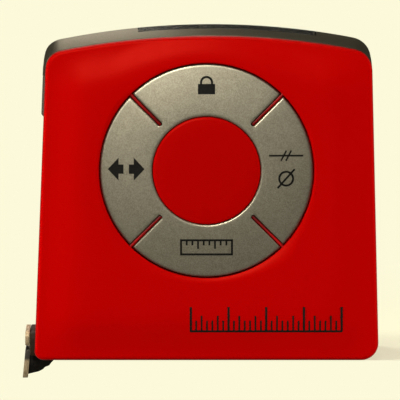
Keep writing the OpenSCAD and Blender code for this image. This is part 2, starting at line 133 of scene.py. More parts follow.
def shade(mesh, smooth_angle):
    """Smooth shading, except over sharp angles."""
    for polygon in mesh.polygons:
        polygon.use_smooth = True
    mesh.set_sharp_from_angle(angle=radians(smooth_angle))


def make_object(name, bm, smooth_angle=38.0):
    """A mesh object from a bmesh in millimetres."""
    bmesh.ops.recalc_face_normals(bm, faces=bm.faces)
    bmesh.ops.scale(bm, vec=(MM, MM, MM), verts=bm.verts)
    mesh = bpy.data.meshes.new(name)
    bm.to_mesh(mesh)
    bm.free()
    shade(mesh, smooth_angle)
    made = bpy.data.objects.new(name, mesh)
    collection().objects.link(made)
    return made


def add_rings(bm, rings, close_ends=True):
    """Quads between equal closed rings of points; the first and last rings are capped."""
    rows = [[bm.verts.new(point) for point in ring] for ring in rings]
    count = len(rows[0])
    for low, high in zip(rows, rows[1:]):
        for k in range(count):
            bm.faces.new((low[k], low[(k + 1) % count], high[(k + 1) % count], high[k]))
    if close_ends:
        bm.faces.new(rows[0][::-1])
        bm.faces.new(rows[-1])
    return rows


def add_skin(bm, rows, back):
    """A closed plate: a grid of points in front, and the same grid moved by back(point) behind."""
    front = [[bm.verts.new(point) for point in row] for row in rows]
    rear = [[bm.verts.new(back(point)) for point in row] for row in rows]
    for grid in (front, rear):
        for low, high in zip(grid, grid[1:]):
            for k in range(len(low) - 1):
                bm.faces.new((low[k], low[k + 1], high[k + 1], high[k]))
    last, end = len(rows) - 1, len(rows[0]) - 1
    rim = [(0, k) for k in range(end)] + [(j, end) for j in range(last)]
    rim += [(last, k) for k in range(end, 0, -1)] + [(j, 0) for j in range(last, 0, -1)]
    for (j, k), (m, n) in zip(rim, rim[1:] + rim[:1]):
        bm.faces.new((front[j][k], front[m][n], rear[m][n], rear[j][k]))


def add_prism(bm, outline, low, high, place):
    """A closed prism. place(u, v, depth) gives the point for an outline point at a depth."""
    add_rings(bm, [[place(u, v, depth) for u, v in outline] for depth in (low, high)])


def rounded_box(bm, lo, hi, radius, segments=3):
    """A box with rounded edges."""
    centre = (Vector(lo) + Vector(hi)) / 2
    size = Vector(hi) - Vector(lo)
    made = bmesh.ops.create_cube(bm, size=1.0)["verts"]
    bmesh.ops.scale(bm, vec=size, verts=made)
    bmesh.ops.translate(bm, vec=centre, verts=made)
    edges = list({edge for vert in made for edge in vert.link_edges})
    bmesh.ops.bevel(bm, geom=edges, offset=radius, segments=segments, profile=0.5,
                    affect="EDGES", clamp_overlap=True)


def circle(steps):
    """Cosine and sine at equal steps round a circle."""
    turns = [2 * pi * k / steps for k in range(steps)]
    return [(cos(turn), sin(turn)) for turn in turns]


def arc(u, v, radius, start, end, steps=14):
    """Points on an arc about (u, v), from start to end in degrees."""
    turns = [radians(start + (end - start) * k / steps) for k in range(steps + 1)]
    return [(u + radius * cos(turn), v + radius * sin(turn)) for turn in turns]


def lathe(bm, profile, place, steps=40):
    """A closed solid of revolution. profile is (radius, height) from the axis back to the axis."""
    add_rings(bm, [[place(radius * c, radius * s, height) for c, s in circle(steps)]
                   for radius, height in profile])


def bake_modifiers(made, smooth_angle=38.0):
    """Replaces an object's mesh by the one its modifiers give."""
    bpy.context.view_layer.update()
    graph = bpy.context.evaluated_depsgraph_get()
    mesh = bpy.data.meshes.new_from_object(made.evaluated_get(graph))
    made.modifiers.clear()
    made.data = mesh
    mesh.name = made.name
    shade(mesh, smooth_angle)


def carve(made, cutters):
    """Cuts the cutters out of an object and removes them."""
    for cutter in cutters:
        cut = made.modifiers.new(cutter.name, "BOOLEAN")
        cut.operation = "DIFFERENCE"
        cut.solver = "EXACT"
        cut.object = cutter
    bake_modifiers(made)
    for cutter in cutters:
        mesh = cutter.data
        bpy.data.objects.remove(cutter)
        bpy.data.meshes.remove(mesh)


HARD_EDGE = 0.001


def cutter_box(name, lo, hi, radius=0.0):
    bm = bmesh.new()
    rounded_box(bm, lo, hi, radius or HARD_EDGE, 2 if radius else 1)
    return make_object(name, bm)


def cutter_rod(name, x, z, radius, y0, y1, steps=40):
    bm = bmesh.new()
    lathe(bm, [(radius, y0), (radius, y1)], lambda u, v, h: (x + u, h, z + v), steps)
    return make_object(name, bm)


def add_bevel(made, width, segments=2, angle=30.0):
    """Rounds every edge that is sharper than the angle."""
    bevel = made.modifiers.new("bevel", "BEVEL")
    bevel.width = width * MM
    bevel.segments = segments
    bevel.limit_method = "ANGLE"
    bevel.angle_limit = radians(angle)
    bake_modifiers(made)


# ---- The case's outline in X and Z ----
def smooth(t):
    """An even step from 0 to 1."""
    t = min(1.0, max(0.0, t))
    return t * t * (3 - 2 * t)


def left_x(z, inset=0.0):
    return -BASE_W / 2 + inset + LEFT_LEAN * z


def right_x(z, inset=0.0):
    return BASE_W / 2 - inset - RIGHT_LEAN * z


def crest_at(x, inset=0.0):
    return CREST_Z - CREST_R + sqrt((CREST_R - inset) ** 2 - (x - CREST_X) ** 2)


def fillet(a, b, c, radius, steps=8):
    """Corner b between its neighbours a and c, rounded."""
    a, b, c = Vector(a), Vector(b), Vector(c)
    u, w = (a - b).normalized(), (c - b).normalized()
    half = u.angle(w) / 2
    slope = sin(half) / cos(half)
    middle = b + (u + w).normalized() * radius / sin(half)
    start, end = b + u * radius / slope - middle, b + w * radius / slope - middle
    sweep = end.angle_signed(start)
    return [tuple(middle + Matrix.Rotation(sweep * k / steps, 2) @ start) for k in range(steps + 1)]


ARCH_ENDS = 5.0
ARCH_STEPS = 28
CORNER_DROP = 3


def over_the_top(inset=0.0):
    """From the foot of the bezel on the right, over the top, to its foot on the left."""
    right_foot = (right_x(FOOT_Z, inset), FOOT_Z)
    left_foot = (left_x(FOOT_Z, inset), FOOT_Z)
    right_top = right_x(CREST_Z - CORNER_DROP, inset)
    left_top = left_x(CREST_Z - CORNER_DROP, inset)
    right_corner = (right_top, crest_at(right_top, inset))
    left_corner = (left_top, crest_at(left_top, inset))
    x0, x1 = right_top - ARCH_ENDS, left_top + ARCH_ENDS
    xs = [x0 + (x1 - x0) * k / ARCH_STEPS for k in range(ARCH_STEPS + 1)]
    arch = [(x, crest_at(x, inset)) for x in xs]
    return ([right_foot] + fillet(right_foot, right_corner, arch[0], TOP_RIGHT_R - inset)
            + arch + fillet(arch[-1], left_corner, left_foot, TOP_LEFT_R - inset) + [left_foot])


def resample(points, step, closed=False):
    """Splits the long segments of a line of points into equal short ones."""
    result = []
    pairs = list(zip(points, points[1:] + (points[:1] if closed else [])))
    for (ax, az), (bx, bz) in pairs[:len(points) if closed else len(points) - 1]:
        parts = max(1, round(hypot(bx - ax, bz - az) / step))
        result += [(ax + (bx - ax) * k / parts, az + (bz - az) * k / parts) for k in range(parts)]
    return result if closed else result + [points[-1]]


FOOT_GAP = 0.03


def case_outline():
    """The closed outline, with a doubled point on each side where the bezel's foot stands."""
    middle = CREST_Z / 2
    left_low, right_low = (left_x(0), 0.0), (right_x(0), 0.0)
    lower = (fillet((left_x(middle), middle), left_low, right_low, BASE_LEFT_R)
             + fillet(left_low, right_low, (right_x(middle), middle), BASE_RIGHT_R))
    below = FOOT_Z - FOOT_GAP
    outline = lower + [(right_x(below), below)] + over_the_top() + [(left_x(below), below)]
    return resample(outline, OUTLINE_STEP, closed=True)


OUTLINE = case_outline()


POINTS_APART = 0.05


def normals_of(points):
    """Outward normals of a closed outline that runs anticlockwise."""
    count = len(points)
    found = []

    def apart(j, k):
        return hypot(points[k][0] - points[j][0], points[k][1] - points[j][1]) >= POINTS_APART

    for k in range(count):
        before, after = k - 1, (k + 1) % count
        while not apart(before, k):
            before -= 1
        while not apart(after, k):
            after = (after + 1) % count
        du = points[after][0] - points[before][0]
        dv = points[after][1] - points[before][1]
        length = hypot(du, dv)
        found.append((dv / length, -du / length))
    return found


NORMALS = normals_of(OUTLINE)


def face_fall(x, z, keys=False):
    """How far a pillowed face has fallen back at a point; it is flat again round the key ring."""
    level = 1.0
    for distance in (x - left_x(z), right_x(z) - x, z, crest_at(x) - z):
        level *= smooth(distance / PILLOW_W)
    fall = PILLOW * (1 - level)
    if keys:
        fall *= smooth((hypot(x - RING_X, z - RING_Z) - RECESS_R) / RING_ROOM)
    return fall


def edge_fall(inset):
    """How far the rounded edge has fallen back at this inset from the outline."""
    return EDGE_R - sqrt(EDGE_R ** 2 - (EDGE_R - inset) ** 2) if inset < EDGE_R else 0.0


# ---- Covers ----
SEAM_GAP = 0.004
LEDGE_GAP = 0.05
SHELL_DEPTH = 3.3
WALL_UNDER_BEZEL = 2.5
RECESS_RIM = 0.25
# How the wall starts at the seam: inset, then the rise from the seam and from the bezel's side
RIM = ((0.16, 0.0, 0.0), (0.03, 0.06, 0.02), (0.0, 0.18, 0.05), (0.0, 0.5, 0.05))
EDGE_TURNS = (0, 12, 25, 38, 52, 66, 80)
FACE_STEPS = (0.9, 1.2, 1.6, 2.1, 2.7, 3.4, 4.2, 5.1, 6.1, 7.2, 8.4, 9.6)
RING_STEPS = (0.3, 0.6, 0.85)


def cover(name, side):
    """One half of the case: a pillowed face, a rounded edge and a wall back to the seam.

    side is -1 for the front cover, which has the round recess for the keys, and +1 for the rear.
    """
    front = side < 0
    face_y = FRONT_Y if front else REAR_Y
    cx, cz = (RING_X, RING_Z) if front else (0.0, CREST_Z / 2)
    inner = []
    for x, z in OUTLINE:
        dx, dz = x - cx, z - cz
        keep = (RECESS_R + RECESS_RIM) / hypot(dx, dz) if front else 0.5
        inner.append((cx + dx * keep, cz + dz * keep))

    def ring(inset, y_low, y_high, inset_high=None):
        """A ring inside the outline; points under the bezel take the high values."""
        points = []
        for (x, z), (nx, nz) in zip(OUTLINE, NORMALS):
            high = z > FOOT_Z - FOOT_GAP / 3
            t = inset_high if high and inset_high is not None else inset
            points.append((x - nx * t, y_high if high else y_low, z - nz * t))
        return points

    def face_ring(distance):
        """A ring of the pillowed face, pulled towards the inner ring."""
        points = []
        for (x, z), (nx, nz), (ix, iz) in zip(OUTLINE, NORMALS, inner):
            start = min(distance, EDGE_R)
            sx, sz = x - nx * start, z - nz * start
            room = hypot(ix - sx, iz - sz)
            scale = min(1.0, 0.9 * room / PILLOW_W)
            part = (distance - start) * scale / room
            px, pz = sx + (ix - sx) * part, sz + (iz - sz) * part
            fall = face_fall(px, pz, front) + edge_fall(distance)
            points.append((px, face_y - side * fall, pz))
        return points

    def towards_recess(ring_at, part):
        """The ring moved a part of the way to the inner ring, on the face."""
        at = [(px + (ix - px) * part, pz + (iz - pz) * part)
              for (px, _, pz), (ix, iz) in zip(ring_at, inner)]
        return [(x, face_y - side * face_fall(x, z, True), z) for x, z in at]

    seam = side * SEAM_GAP
    lip = side * (BEZEL_Y + LEDGE_GAP)
    back = face_y - side * SHELL_DEPTH
    rings = [ring(WALL, back, back, WALL_UNDER_BEZEL), ring(WALL, seam, lip, WALL_UNDER_BEZEL)]
    rings += [ring(inset, seam + side * rise, lip + side * lip_rise) for inset, rise, lip_rise in RIM]
    rings.append(ring(0.0, face_y - side * (EDGE_R + PILLOW + 0.6), lip + side * RIM[-1][2]))
    rings += [face_ring(EDGE_R * (1 - cos(radians(angle)))) for angle in EDGE_TURNS]
    rings += [face_ring(distance) for distance in FACE_STEPS]
    if front:
        rings += [towards_recess(rings[-1], part) for part in RING_STEPS] + recess_rings(inner)
    else:
        rings.append([(ix, face_y, iz) for ix, iz in inner])
    bm = bmesh.new()
    add_rings(bm, rings)
    return make_object(name, bm, 30.0)


# The recess and its disc, from the rim to the middle: radius, and depth behind the front face
RECESS_PROFILE = (
    (RECESS_R + 0.1, 0.02), (RECESS_R + 0.02, 0.08), (RECESS_R, 0.2), (RECESS_R, RECESS_Y - FRONT_Y),
    (DISC_R, RECESS_Y - FRONT_Y), (DISC_R, 0.22), (DISC_R - 0.05, 0.08), (DISC_R - 0.2, 0.0),
    (DISC_R - 0.6, -0.05), (8.0, -0.12), (4.0, -0.17), (0.4, -0.18))


def recess_rings(inner):
    """The round recess in the front cover, and the red disc in its middle."""
    offsets = [(x - RING_X, z - RING_Z) for x, z in inner]
    turns = [(dx / hypot(dx, dz), dz / hypot(dx, dz)) for dx, dz in offsets]
    return [[(RING_X + radius * u, FRONT_Y + drop, RING_Z + radius * v) for u, v in turns]
            for radius, drop in RECESS_PROFILE]


RIB_HALF = 0.27
RIB_TOP_Y = FRONT_Y + 0.55


def slot_ribs():
    """Thin red ribs that stand in the slots between the keys."""
    bm = bmesh.new()
    start = SLOT_END_R + 0.25
    cap = [(start + RIB_HALF - RIB_HALF * cos(radians(a)), RIB_HALF * sin(radians(a)))
           for a in range(-90, 91, 30)]
    outline = cap + [(RECESS_R, RIB_HALF), (RECESS_R, -RIB_HALF)]
    levels = ((RECESS_Y + 0.2, 1.0), (RIB_TOP_Y + 0.12, 1.0), (RIB_TOP_Y + 0.03, 0.8), (RIB_TOP_Y, 0.5))
    for turn in (45, 135, 225, 315):
        along = Vector((cos(radians(turn)), 0, sin(radians(turn))))
        across = Vector((-along.z, 0, along.x))
        rings = []
        for depth, scale in levels:
            points = [Vector((RING_X, 0, RING_Z)) + along * u + across * (v * scale) for u, v in outline]
            rings.append([(point.x, depth, point.z) for point in points])
        add_rings(bm, rings)
    return make_object("key_slot_ribs", bm)


MOUTH_HALF = 10.6
MOUTH_TOP_Z = 4.5
MOUTH_IN_X = -26.9
BUMPER_IN_X = -33.0


CUT_PAST = 3


def mouth_cutters():
    """Cutters for the mouth and for the seat of its rubber frame."""
    middle = (bumper_lo.y + bumper_hi.y) / 2
    half = (bumper_hi.y - bumper_lo.y) / 2 + 0.1
    cuts = (("mouth_cut", MOUTH_HALF, MOUTH_IN_X, MOUTH_TOP_Z),
            ("bumper_cut", half, BUMPER_IN_X, bumper_hi.z + 0.1))
    return [cutter_box(name, (-BASE_W, middle - wide, -CUT_PAST), (in_x, middle + wide, top))
            for name, wide, in_x, top in cuts]


def wall_point(out, y, up):
    """A point of the leaning left wall: out of the case, along Y and up the wall."""
    lean = atan(LEFT_LEAN)
    return (-BASE_W / 2 - out * cos(lean) + up * sin(lean), y, out * sin(lean) + up * cos(lean))


# The thumb lock, up the left wall
BUTTON_LOW, BUTTON_HIGH = 48.7, 57.8
BUTTON_HALF = 6.5
BUTTON_PROUD = 0.6
lock_y = (tongue_lo.y + tongue_hi.y) / 2


def wall_prism(bm, outline, low, high):
    """A prism on the leaning wall: its outline is in Y about the lock's middle and up the wall."""
    add_prism(bm, outline, low, high, lambda y, up, out: wall_point(out, lock_y + y, up))


def lock_slot_cutter():
    bm = bmesh.new()
    half, low, high = 4.2, 45.7, 57.2
    wall_prism(bm, [(-half, low), (half, low), (half, high), (-half, high)], -4.0, 2.0)
    return make_object("lock_cut", bm)


screw_lo, screw_hi = box("case_screws")
SCREWS = [(-28.9, 10.5), (11.6, 5.3), (-26.5, 53.5), (28.5, 54.0)]
SCREW_SEAT_Y = screw_hi.y - 1.5
DOOR_LEDGE = 0.9
DOOR_GAP = 0.15
DOOR_SEAT = 1.75
DOOR_LOW_Z = 4.0
SCREW_HOLE_R = 2.45


def front_cover():
    made = cover("red_front_cover", -1)
    carve(made, mouth_cutters() + [lock_slot_cutter()])
    return made


def rear_cover():
    made = cover("red_rear_cover", 1)
    cutters = mouth_cutters() + [lock_slot_cutter()]
    cutters += [cutter_rod("screw_cut", x, z, SCREW_HOLE_R, SCREW_SEAT_Y, REAR_Y + 1) for x, z in SCREWS]
    x0, x1, z1 = door_lo.x - DOOR_GAP, door_hi.x + DOOR_GAP, door_hi.z + DOOR_GAP
    cutters.append(cutter_box("door_cut", (x0, REAR_Y - DOOR_SEAT, DOOR_LOW_Z), (x1, REAR_Y + 2, z1)))
    cutters.append(cutter_box("bay_cut", (x0 + DOOR_LEDGE, REAR_Y - 6, DOOR_LOW_Z),
                              (x1 - DOOR_LEDGE, REAR_Y, z1 - DOOR_LEDGE)))
    carve(made, cutters)
    return made


DOOR_T = 1.65
# The door's rounded border: distance in from its edge, and how far the face has fallen there
DOOR_BORDER = ((0.0, 0.32), (0.06, 0.14), (0.18, 0.03), (0.35, 0.0))
GRIP_BELOW, GRIP_STEP, GRIPS = 8.2, 1.6, 4
GRIP_HALF_W, GRIP_HALF, GRIP_DEPTH = 4.4, 0.4, 0.4


def battery_door():
    """The door's outer face follows the pillow of the rear cover."""
    bm = bmesh.new()
    x0, x1 = door_lo.x, door_hi.x
    z0, z1 = DOOR_LOW_Z + DOOR_GAP, door_hi.z
    soft = [inward for inward, _ in DOOR_BORDER]

    def stations(low, high, parts):
        span = high - low - 2 * soft[-1]
        inner = [low + soft[-1] + span * k / parts for k in range(1, parts)]
        return [low + s for s in soft] + inner + [high - s for s in reversed(soft)]

    def fall(value, low, high):
        near = min(value - low, high - value)
        for (a, da), (b, db) in zip(DOOR_BORDER, DOOR_BORDER[1:]):
            if near < b:
                return da + (db - da) * (near - a) / (b - a)
        return 0.0

    def groove(x, z):
        """Shallow thumb grooves near the top of the door."""
        if abs(x - (x0 + x1) / 2) > GRIP_HALF_W:
            return 0.0
        offs = [abs(z - (z1 - GRIP_BELOW) - GRIP_STEP * k) for k in range(GRIPS)]
        return GRIP_DEPTH * cos(min(offs) / GRIP_HALF * pi / 2) if min(offs) < GRIP_HALF else 0.0

    def surface(x, z):
        return REAR_Y - face_fall(x, z) - max(fall(x, x0, x1), fall(z, z0, z1)) - groove(x, z)

    rows = [[(x, surface(x, z), z) for x in stations(x0, x1, 26)] for z in stations(z0, z1, 120)]
    add_skin(bm, rows, lambda p: (p[0], REAR_Y - DOOR_T, p[2]))
    for x in (x0 + 2.25, x1 - 2.45):
        rounded_box(bm, (x - 1, 18.6, 2.8), (x + 1, 19.5, 5.2), 0.2, 2)
        rounded_box(bm, (x - 1, 19.3, 4.2), (x + 1, 20.0, 5.2), 0.15, 2)
    return make_object("battery_door_cover", bm)


# ---- Top bezel, window and display ----
CROWN = window_hi.z + 0.05 - CREST_Z
BEZEL_PROUD = 0.5
PANE_T = 1.0


def crown_at(y):
    return CROWN * (1 - (y / BEZEL_Y) ** 2)


BEZEL_T = 1.9
BEZEL_EDGE_R = 0.45
BEZEL_NEAR = (0.0, 0.03, 0.1, 0.22, 0.45, 1.0)
BEZEL_PARTS = 16
PANE_GAP = 0.02
PANE_CORNER = 0.9


def top_bezel():
    """The arched strip between the covers, proud of the wall over the thumb lock."""
    path = resample(over_the_top(), 1.1)
    normals = []
    for k in range(len(path)):
        before, after = path[max(k - 1, 0)], path[min(k + 1, len(path) - 1)]
        du, dv = after[0] - before[0], after[1] - before[1]
        normals.append((dv / hypot(du, dv), -du / hypot(du, dv)))
    edge = BEZEL_NEAR[-1]
    stations = [-BEZEL_Y + near for near in BEZEL_NEAR]
    stations += [(-BEZEL_Y + edge) + (2 * BEZEL_Y - 2 * edge) * k / BEZEL_PARTS
                 for k in range(1, BEZEL_PARTS)]
    stations += [BEZEL_Y - near for near in reversed(BEZEL_NEAR)]

    def outer(x, z, nx, nz, y):
        end = BEZEL_Y - abs(y)
        inset = 0.0
        if end < BEZEL_EDGE_R:
            inset = BEZEL_EDGE_R - sqrt(max(BEZEL_EDGE_R ** 2 - (BEZEL_EDGE_R - end) ** 2, 0))
        over = BEZEL_PROUD * min(1.0, max(0.0, (-28 - x) / 4))
        lift = crown_at(y) * min(1.0, max(0.0, (z - FOOT_Z) / 3))
        return (x - nx * inset - over, y, z - nz * inset + lift)

    sides = list(zip(path, normals))
    rings = [[outer(x, z, nx, nz, y) for (x, z), (nx, nz) in sides]
             + [(x - nx * BEZEL_T, y, z - nz * BEZEL_T) for (x, z), (nx, nz) in reversed(sides)]
             for y in stations]
    bm = bmesh.new()
    rows = add_rings(bm, rings, close_ends=False)
    count = len(path)
    for row in (rows[0], rows[-1]):
        for k in range(count - 1):
            bm.faces.new((row[k], row[k + 1], row[2 * count - 2 - k], row[2 * count - 1 - k]))
    made = make_object("dark_top_bezel", bm)
    carve(made, [cutter_box("window_cut", (window_lo.x - PANE_GAP, window_lo.y - PANE_GAP, 55),
                            (window_hi.x + PANE_GAP, window_hi.y + PANE_GAP, 75), PANE_CORNER)])
    return made


def window_rows(x0, x1, y0, y1, sink, nx=30, ny=10):
    """A grid of points on the crowned arch, a little below its surface."""
    xs = [x0 + (x1 - x0) * k / nx for k in range(nx + 1)]
    ys = [y0 + (y1 - y0) * j / ny for j in range(ny + 1)]
    return [[(x, y, crest_at(x) + crown_at(y) - sink) for x in xs] for y in ys]


def display_window():
    bm = bmesh.new()
    rows = window_rows(window_lo.x + PANE_GAP, window_hi.x - PANE_GAP,
                       window_lo.y + PANE_GAP, window_hi.y - PANE_GAP, PANE_GAP)
    add_skin(bm, rows, lambda p: (p[0], p[1], p[2] - PANE_T))
    made = make_object("display_window_pane", bm)
    add_bevel(made, 0.06, 2)
    return made


def window_mask():
    """The black frame printed under the window."""
    bm = bmesh.new()
    inset, border, depth, ink_t = 0.3, 1.9, 1.15, 0.05
    x0, x3 = window_lo.x + inset, window_hi.x - inset
    y0, y3 = window_lo.y + inset, window_hi.y - inset
    x1, x2, y1, y2 = x0 + border, x3 - border, y0 + border, y3 - border
    for strip in ((x0, x1, y0, y3), (x2, x3, y0, y3), (x1, x2, y0, y1), (x1, x2, y2, y3)):
        add_skin(bm, window_rows(*strip, depth, 12, 4), lambda p: (p[0], p[1], p[2] - ink_t))
    return make_object("window_printed_frame", bm)


# Which of the seven segments each digit lights: top, upper right, lower right, bottom,
# lower left, upper left, middle
SEGMENTS = {"0": (0, 1, 2, 3, 4, 5), "1": (1, 2), "2": (0, 1, 3, 4, 6), "3": (0, 1, 2, 3, 6),
            "4": (1, 2, 5, 6), "5": (0, 2, 3, 5, 6), "6": (0, 2, 3, 4, 5, 6), "7": (0, 1, 2),
            "8": (0, 1, 2, 3, 4, 5, 6), "9": (0, 1, 2, 3, 5, 6)}


def digit_segment(index, wide, tall, thick):
    """Outline of one segment of a digit whose corner is at the origin."""
    gap, half = 0.08, thick / 2
    low = {3: 0.0, 6: tall / 2, 0: tall}
    if index in low:
        v = low[index]
        return [(gap, v), (gap + half, v + half), (wide - gap - half, v + half),
                (wide - gap, v), (wide - gap - half, v - half), (gap + half, v - half)]
    u = wide if index in (1, 2) else 0.0
    v0 = tall / 2 if index in (1, 5) else 0.0
    v1 = v0 + tall / 2
    return [(u, v0 + gap), (u + half, v0 + gap + half), (u + half, v1 - gap - half),
            (u, v1 - gap), (u - half, v1 - gap - half), (u - half, v0 + gap + half)]


READING = "1234"
DIGIT_W, DIGIT_H, DIGIT_STROKE = 3.3, 6.4, 0.75
DIGIT_PITCH = 5.6
DIGIT_Y = -2.9
POINT_Y = -3.2
SCALE_TICKS, TICK_PITCH, TICK_W = 17, 1.6, 0.28


def display_digits():
    """A generic reading on the panel: digits, a point and a row of ticks."""
    panel_lo, panel_hi = box("display_panel")
    bm = bmesh.new()
    top = panel_hi.z
    first = panel_lo.x + DIGIT_PITCH

    def lay(outline, u0, v0, slant=0.08):
        add_prism(bm, outline, top + 0.01, top + 0.05,
                  lambda u, v, h: (u0 + u + v * slant, v0 + v, h))

    def block(wide, tall):
        return [(0, 0), (wide, 0), (wide, tall), (0, tall)]

    for place, digit in enumerate(READING):
        for index in SEGMENTS[digit]:
            lay(digit_segment(index, DIGIT_W, DIGIT_H, DIGIT_STROKE), first + DIGIT_PITCH * place, DIGIT_Y)
    lay(block(0.8, 0.8), first + DIGIT_PITCH * 2 - 1.6, POINT_Y)
    for k in range(SCALE_TICKS):
        lay(block(TICK_W, 1.3 if k % 4 == 0 else 0.75), panel_lo.x + 3.4 + TICK_PITCH * k, 4.6, 0.0)
    return make_object("display_digits", bm)


def display_panel():
    panel_lo, panel_hi = box("display_panel")
    bm = bmesh.new()
    rounded_box(bm, panel_lo, panel_hi, 0.25, 2)
    return make_object("display_glass_panel", bm)


# ---- Keys ----
KEY_TURNS = {"hold": 90, "centre": 0, "units": 270, "offset": 180}
KEY_EDGE = [0.0, 0.03, 0.1, 0.22, 0.4]
KEY_EDGE_DROP = [0.22, 0.12, 0.045, 0.01, 0.0]


RIM_ROUND = 0.35
RIM_DROP = 0.3
INNER_R = DISC_R + 0.15


def key_drop(r):
    """The ring's face: a rounded inner edge, a flat run and a slight fall towards the rim."""
    fall = 0.5 * max(0.0, (r - DISC_R) / (RING_R - DISC_R)) ** 1.6
    for radius, side in ((INNER_R, 1), (RING_R, -1)):
        near = side * (r - radius)
        if 0 <= near < RIM_ROUND:
            fall += RIM_DROP * (1 - sqrt(1 - (1 - near / RIM_ROUND) ** 2)) if near > 0 else RIM_DROP
    return fall


def slot_cut(r):
    """Half of the slot's width at a radius, with its round inner end."""
    centre = SLOT_END_R + SLOT_HALF
    if r <= SLOT_END_R:
        return 0.0
    if r < centre:
        return sqrt(max(SLOT_HALF ** 2 - (centre - r) ** 2, 0.0))
    return SLOT_HALF


RIM_STEPS = (0.0, 0.03, 0.1, 0.22, RIM_ROUND)
KEY_PARTS = 24


def key_radii():
    """Where the rows of a key lie, closer together at both rims and round the slot's end."""
    radii = [INNER_R + step for step in RIM_STEPS] + [11.8, 12.4]
    radii += [SLOT_END_R + SLOT_HALF * (1 - cos(radians(a))) for a in (0, 18, 36, 54, 72, 90)]
    radii += [14.0 + 0.75 * k for k in range(10)] + [21.1]
    return radii + [RING_R - step for step in reversed(RIM_STEPS)]


def key_quarter(name, turn):
    """One key with its quarter of the hub, so that the ring's face runs on unbroken."""
    drops = KEY_EDGE_DROP + [0.0] * (KEY_PARTS - 1) + KEY_EDGE_DROP[::-1]
    rows = []
    for r in key_radii():
        half = pi / 4 - asin(slot_cut(r) / r)
        edge_scale = smooth((r - SLOT_END_R) / 0.4)
        edge = [half - e * (0.2 + 0.8 * edge_scale) / r for e in KEY_EDGE]
        middle = [edge[-1] * (2 * k / KEY_PARTS - 1) for k in range(1, KEY_PARTS)]
        row = []
        for angle, extra in zip([-a for a in edge] + middle + edge[::-1], drops):
            a = radians(turn) + angle
            depth = KEY_Y + key_drop(r) + extra * edge_scale
            row.append((RING_X + r * cos(a), depth, RING_Z + r * sin(a)))
        rows.append(row)
    bm = bmesh.new()
    add_skin(bm, rows, lambda p: (p[0], KEY_Y + KEY_T, p[2]))
    return make_object(name, bm, 32.0)


def blend_key(made):
    """Bakes the placement of a piece on the ring into its mesh."""
    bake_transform(made)


def key_hub():
    """The hub under the ring's inner edge."""
    bm = bmesh.new()
    low, high = KEY_Y + 0.5, RECESS_Y - 0.01
    profile = [(DISC_R + 0.2, high), (DISC_R + 0.2, low), (DISC_R + 0.3, low - 0.08),
               (HUB_R - 0.35, low - 0.08), (HUB_R - 0.2, low), (HUB_R - 0.2, high)]
    rings = [[(RING_X + r * c, y, RING_Z + r * s) for c, s in circle(72)] for r, y in profile]
    add_rings(bm, rings + rings[:1], close_ends=False)
    bmesh.ops.remove_doubles(bm, verts=bm.verts, dist=0.0005)
    return make_object("key_hub_ring", bm)


# ---- Printed marks ----
INK_PROUD = 0.015
INK_SUNK = 0.03


def cut_grid(piece, outline, step):
    """Cuts a flat face into cells, so that it can follow a curved surface."""
    for axis in (0, 1):
        low = min(p[axis] for p in outline)
        high = max(p[axis] for p in outline)
        cuts = int((high - low) / step)
        for k in range(1, cuts + 1):
            spot, normal = [0.0, 0.0, 0.0], [0.0, 0.0, 0.0]
            spot[axis], normal[axis] = low + (high - low) * k / (cuts + 1), 1.0
            bmesh.ops.bisect_plane(piece, geom=piece.verts[:] + piece.edges[:] + piece.faces[:],
                                   plane_co=spot, plane_no=normal)


def printed(name, shapes, surface, step=0.6):
    """Thin ink laid on a curved surface. shapes are outlines, surface(u, v, sink) gives the point."""
    bm = bmesh.new()
    for outline in shapes:
        piece = bmesh.new()
        piece.faces.new([piece.verts.new((u, v, 0.0)) for u, v in outline])
        bmesh.ops.triangulate(piece, faces=piece.faces)
        cut_grid(piece, outline, step)
        made = bmesh.ops.extrude_face_region(piece, geom=piece.faces[:])
        backs = {item for item in made["geom"] if isinstance(item, bmesh.types.BMVert)}
        index = {vert: bm.verts.new(surface(vert.co.x, vert.co.y, INK_SUNK if vert in backs else -INK_PROUD))
                 for vert in piece.verts}
        for face in piece.faces:
            bm.faces.new([index[vert] for vert in face.verts])
        piece.free()
    return make_object(name, bm)


def on_ring(u, v, sink):
    return (RING_X + u, KEY_Y + key_drop(hypot(u, v)) + sink, RING_Z + v)


def on_face(u, v, sink):
    return (u, FRONT_Y + face_fall(u, v, True) + sink, v)


def stroke(points, width, reach=0.0):
    """The outline of a line drawn through the points, reaching past both of its ends."""
    left, right = [], []
    last = len(points) - 1
    for k, (u, v) in enumerate(points):
        before, after = points[max(k - 1, 0)], points[min(k + 1, last)]
        du, dv = after[0] - before[0], after[1] - before[1]
        length = hypot(du, dv)
        du, dv = du / length, dv / length
        shift = reach * ((k == last) - (k == 0))
        u, v = u + du * shift, v + dv * shift
        left.append((u - dv * width / 2, v + du * width / 2))
        right.append((u + dv * width / 2, v - du * width / 2))
    return left + right[::-1]


def ring_strips(u, v, radius, width, steps=20):
    """A circle drawn as short strips, so that its middle stays open."""
    shapes = []
    for k in range(steps):
        a, b = radians(360 * k / steps), radians(360 * (k + 1) / steps)
        inner, outer = radius - width / 2, radius + width / 2
        shapes.append([(u + r * cos(t), v + r * sin(t)) for r, t in
                       ((inner, a), (outer, a), (outer, b), (inner, b))])
    return shapes


def hold_mark():
    """A small padlock."""
    low, half, shackle_r = 15.6, 1.75, 1.12
    body = [(-half, low), (half, low), (half, low + 2.1), (-half, low + 2.1)]
    shackle = arc(0, low + 2.4, shackle_r, 0, 180)
    legs = [(shackle_r, low + 1.9)] + shackle + [(-shackle_r, low + 1.9)]
    return [body] + [stroke([a, b], 0.46, 0.03) for a, b in zip(legs, legs[1:])]


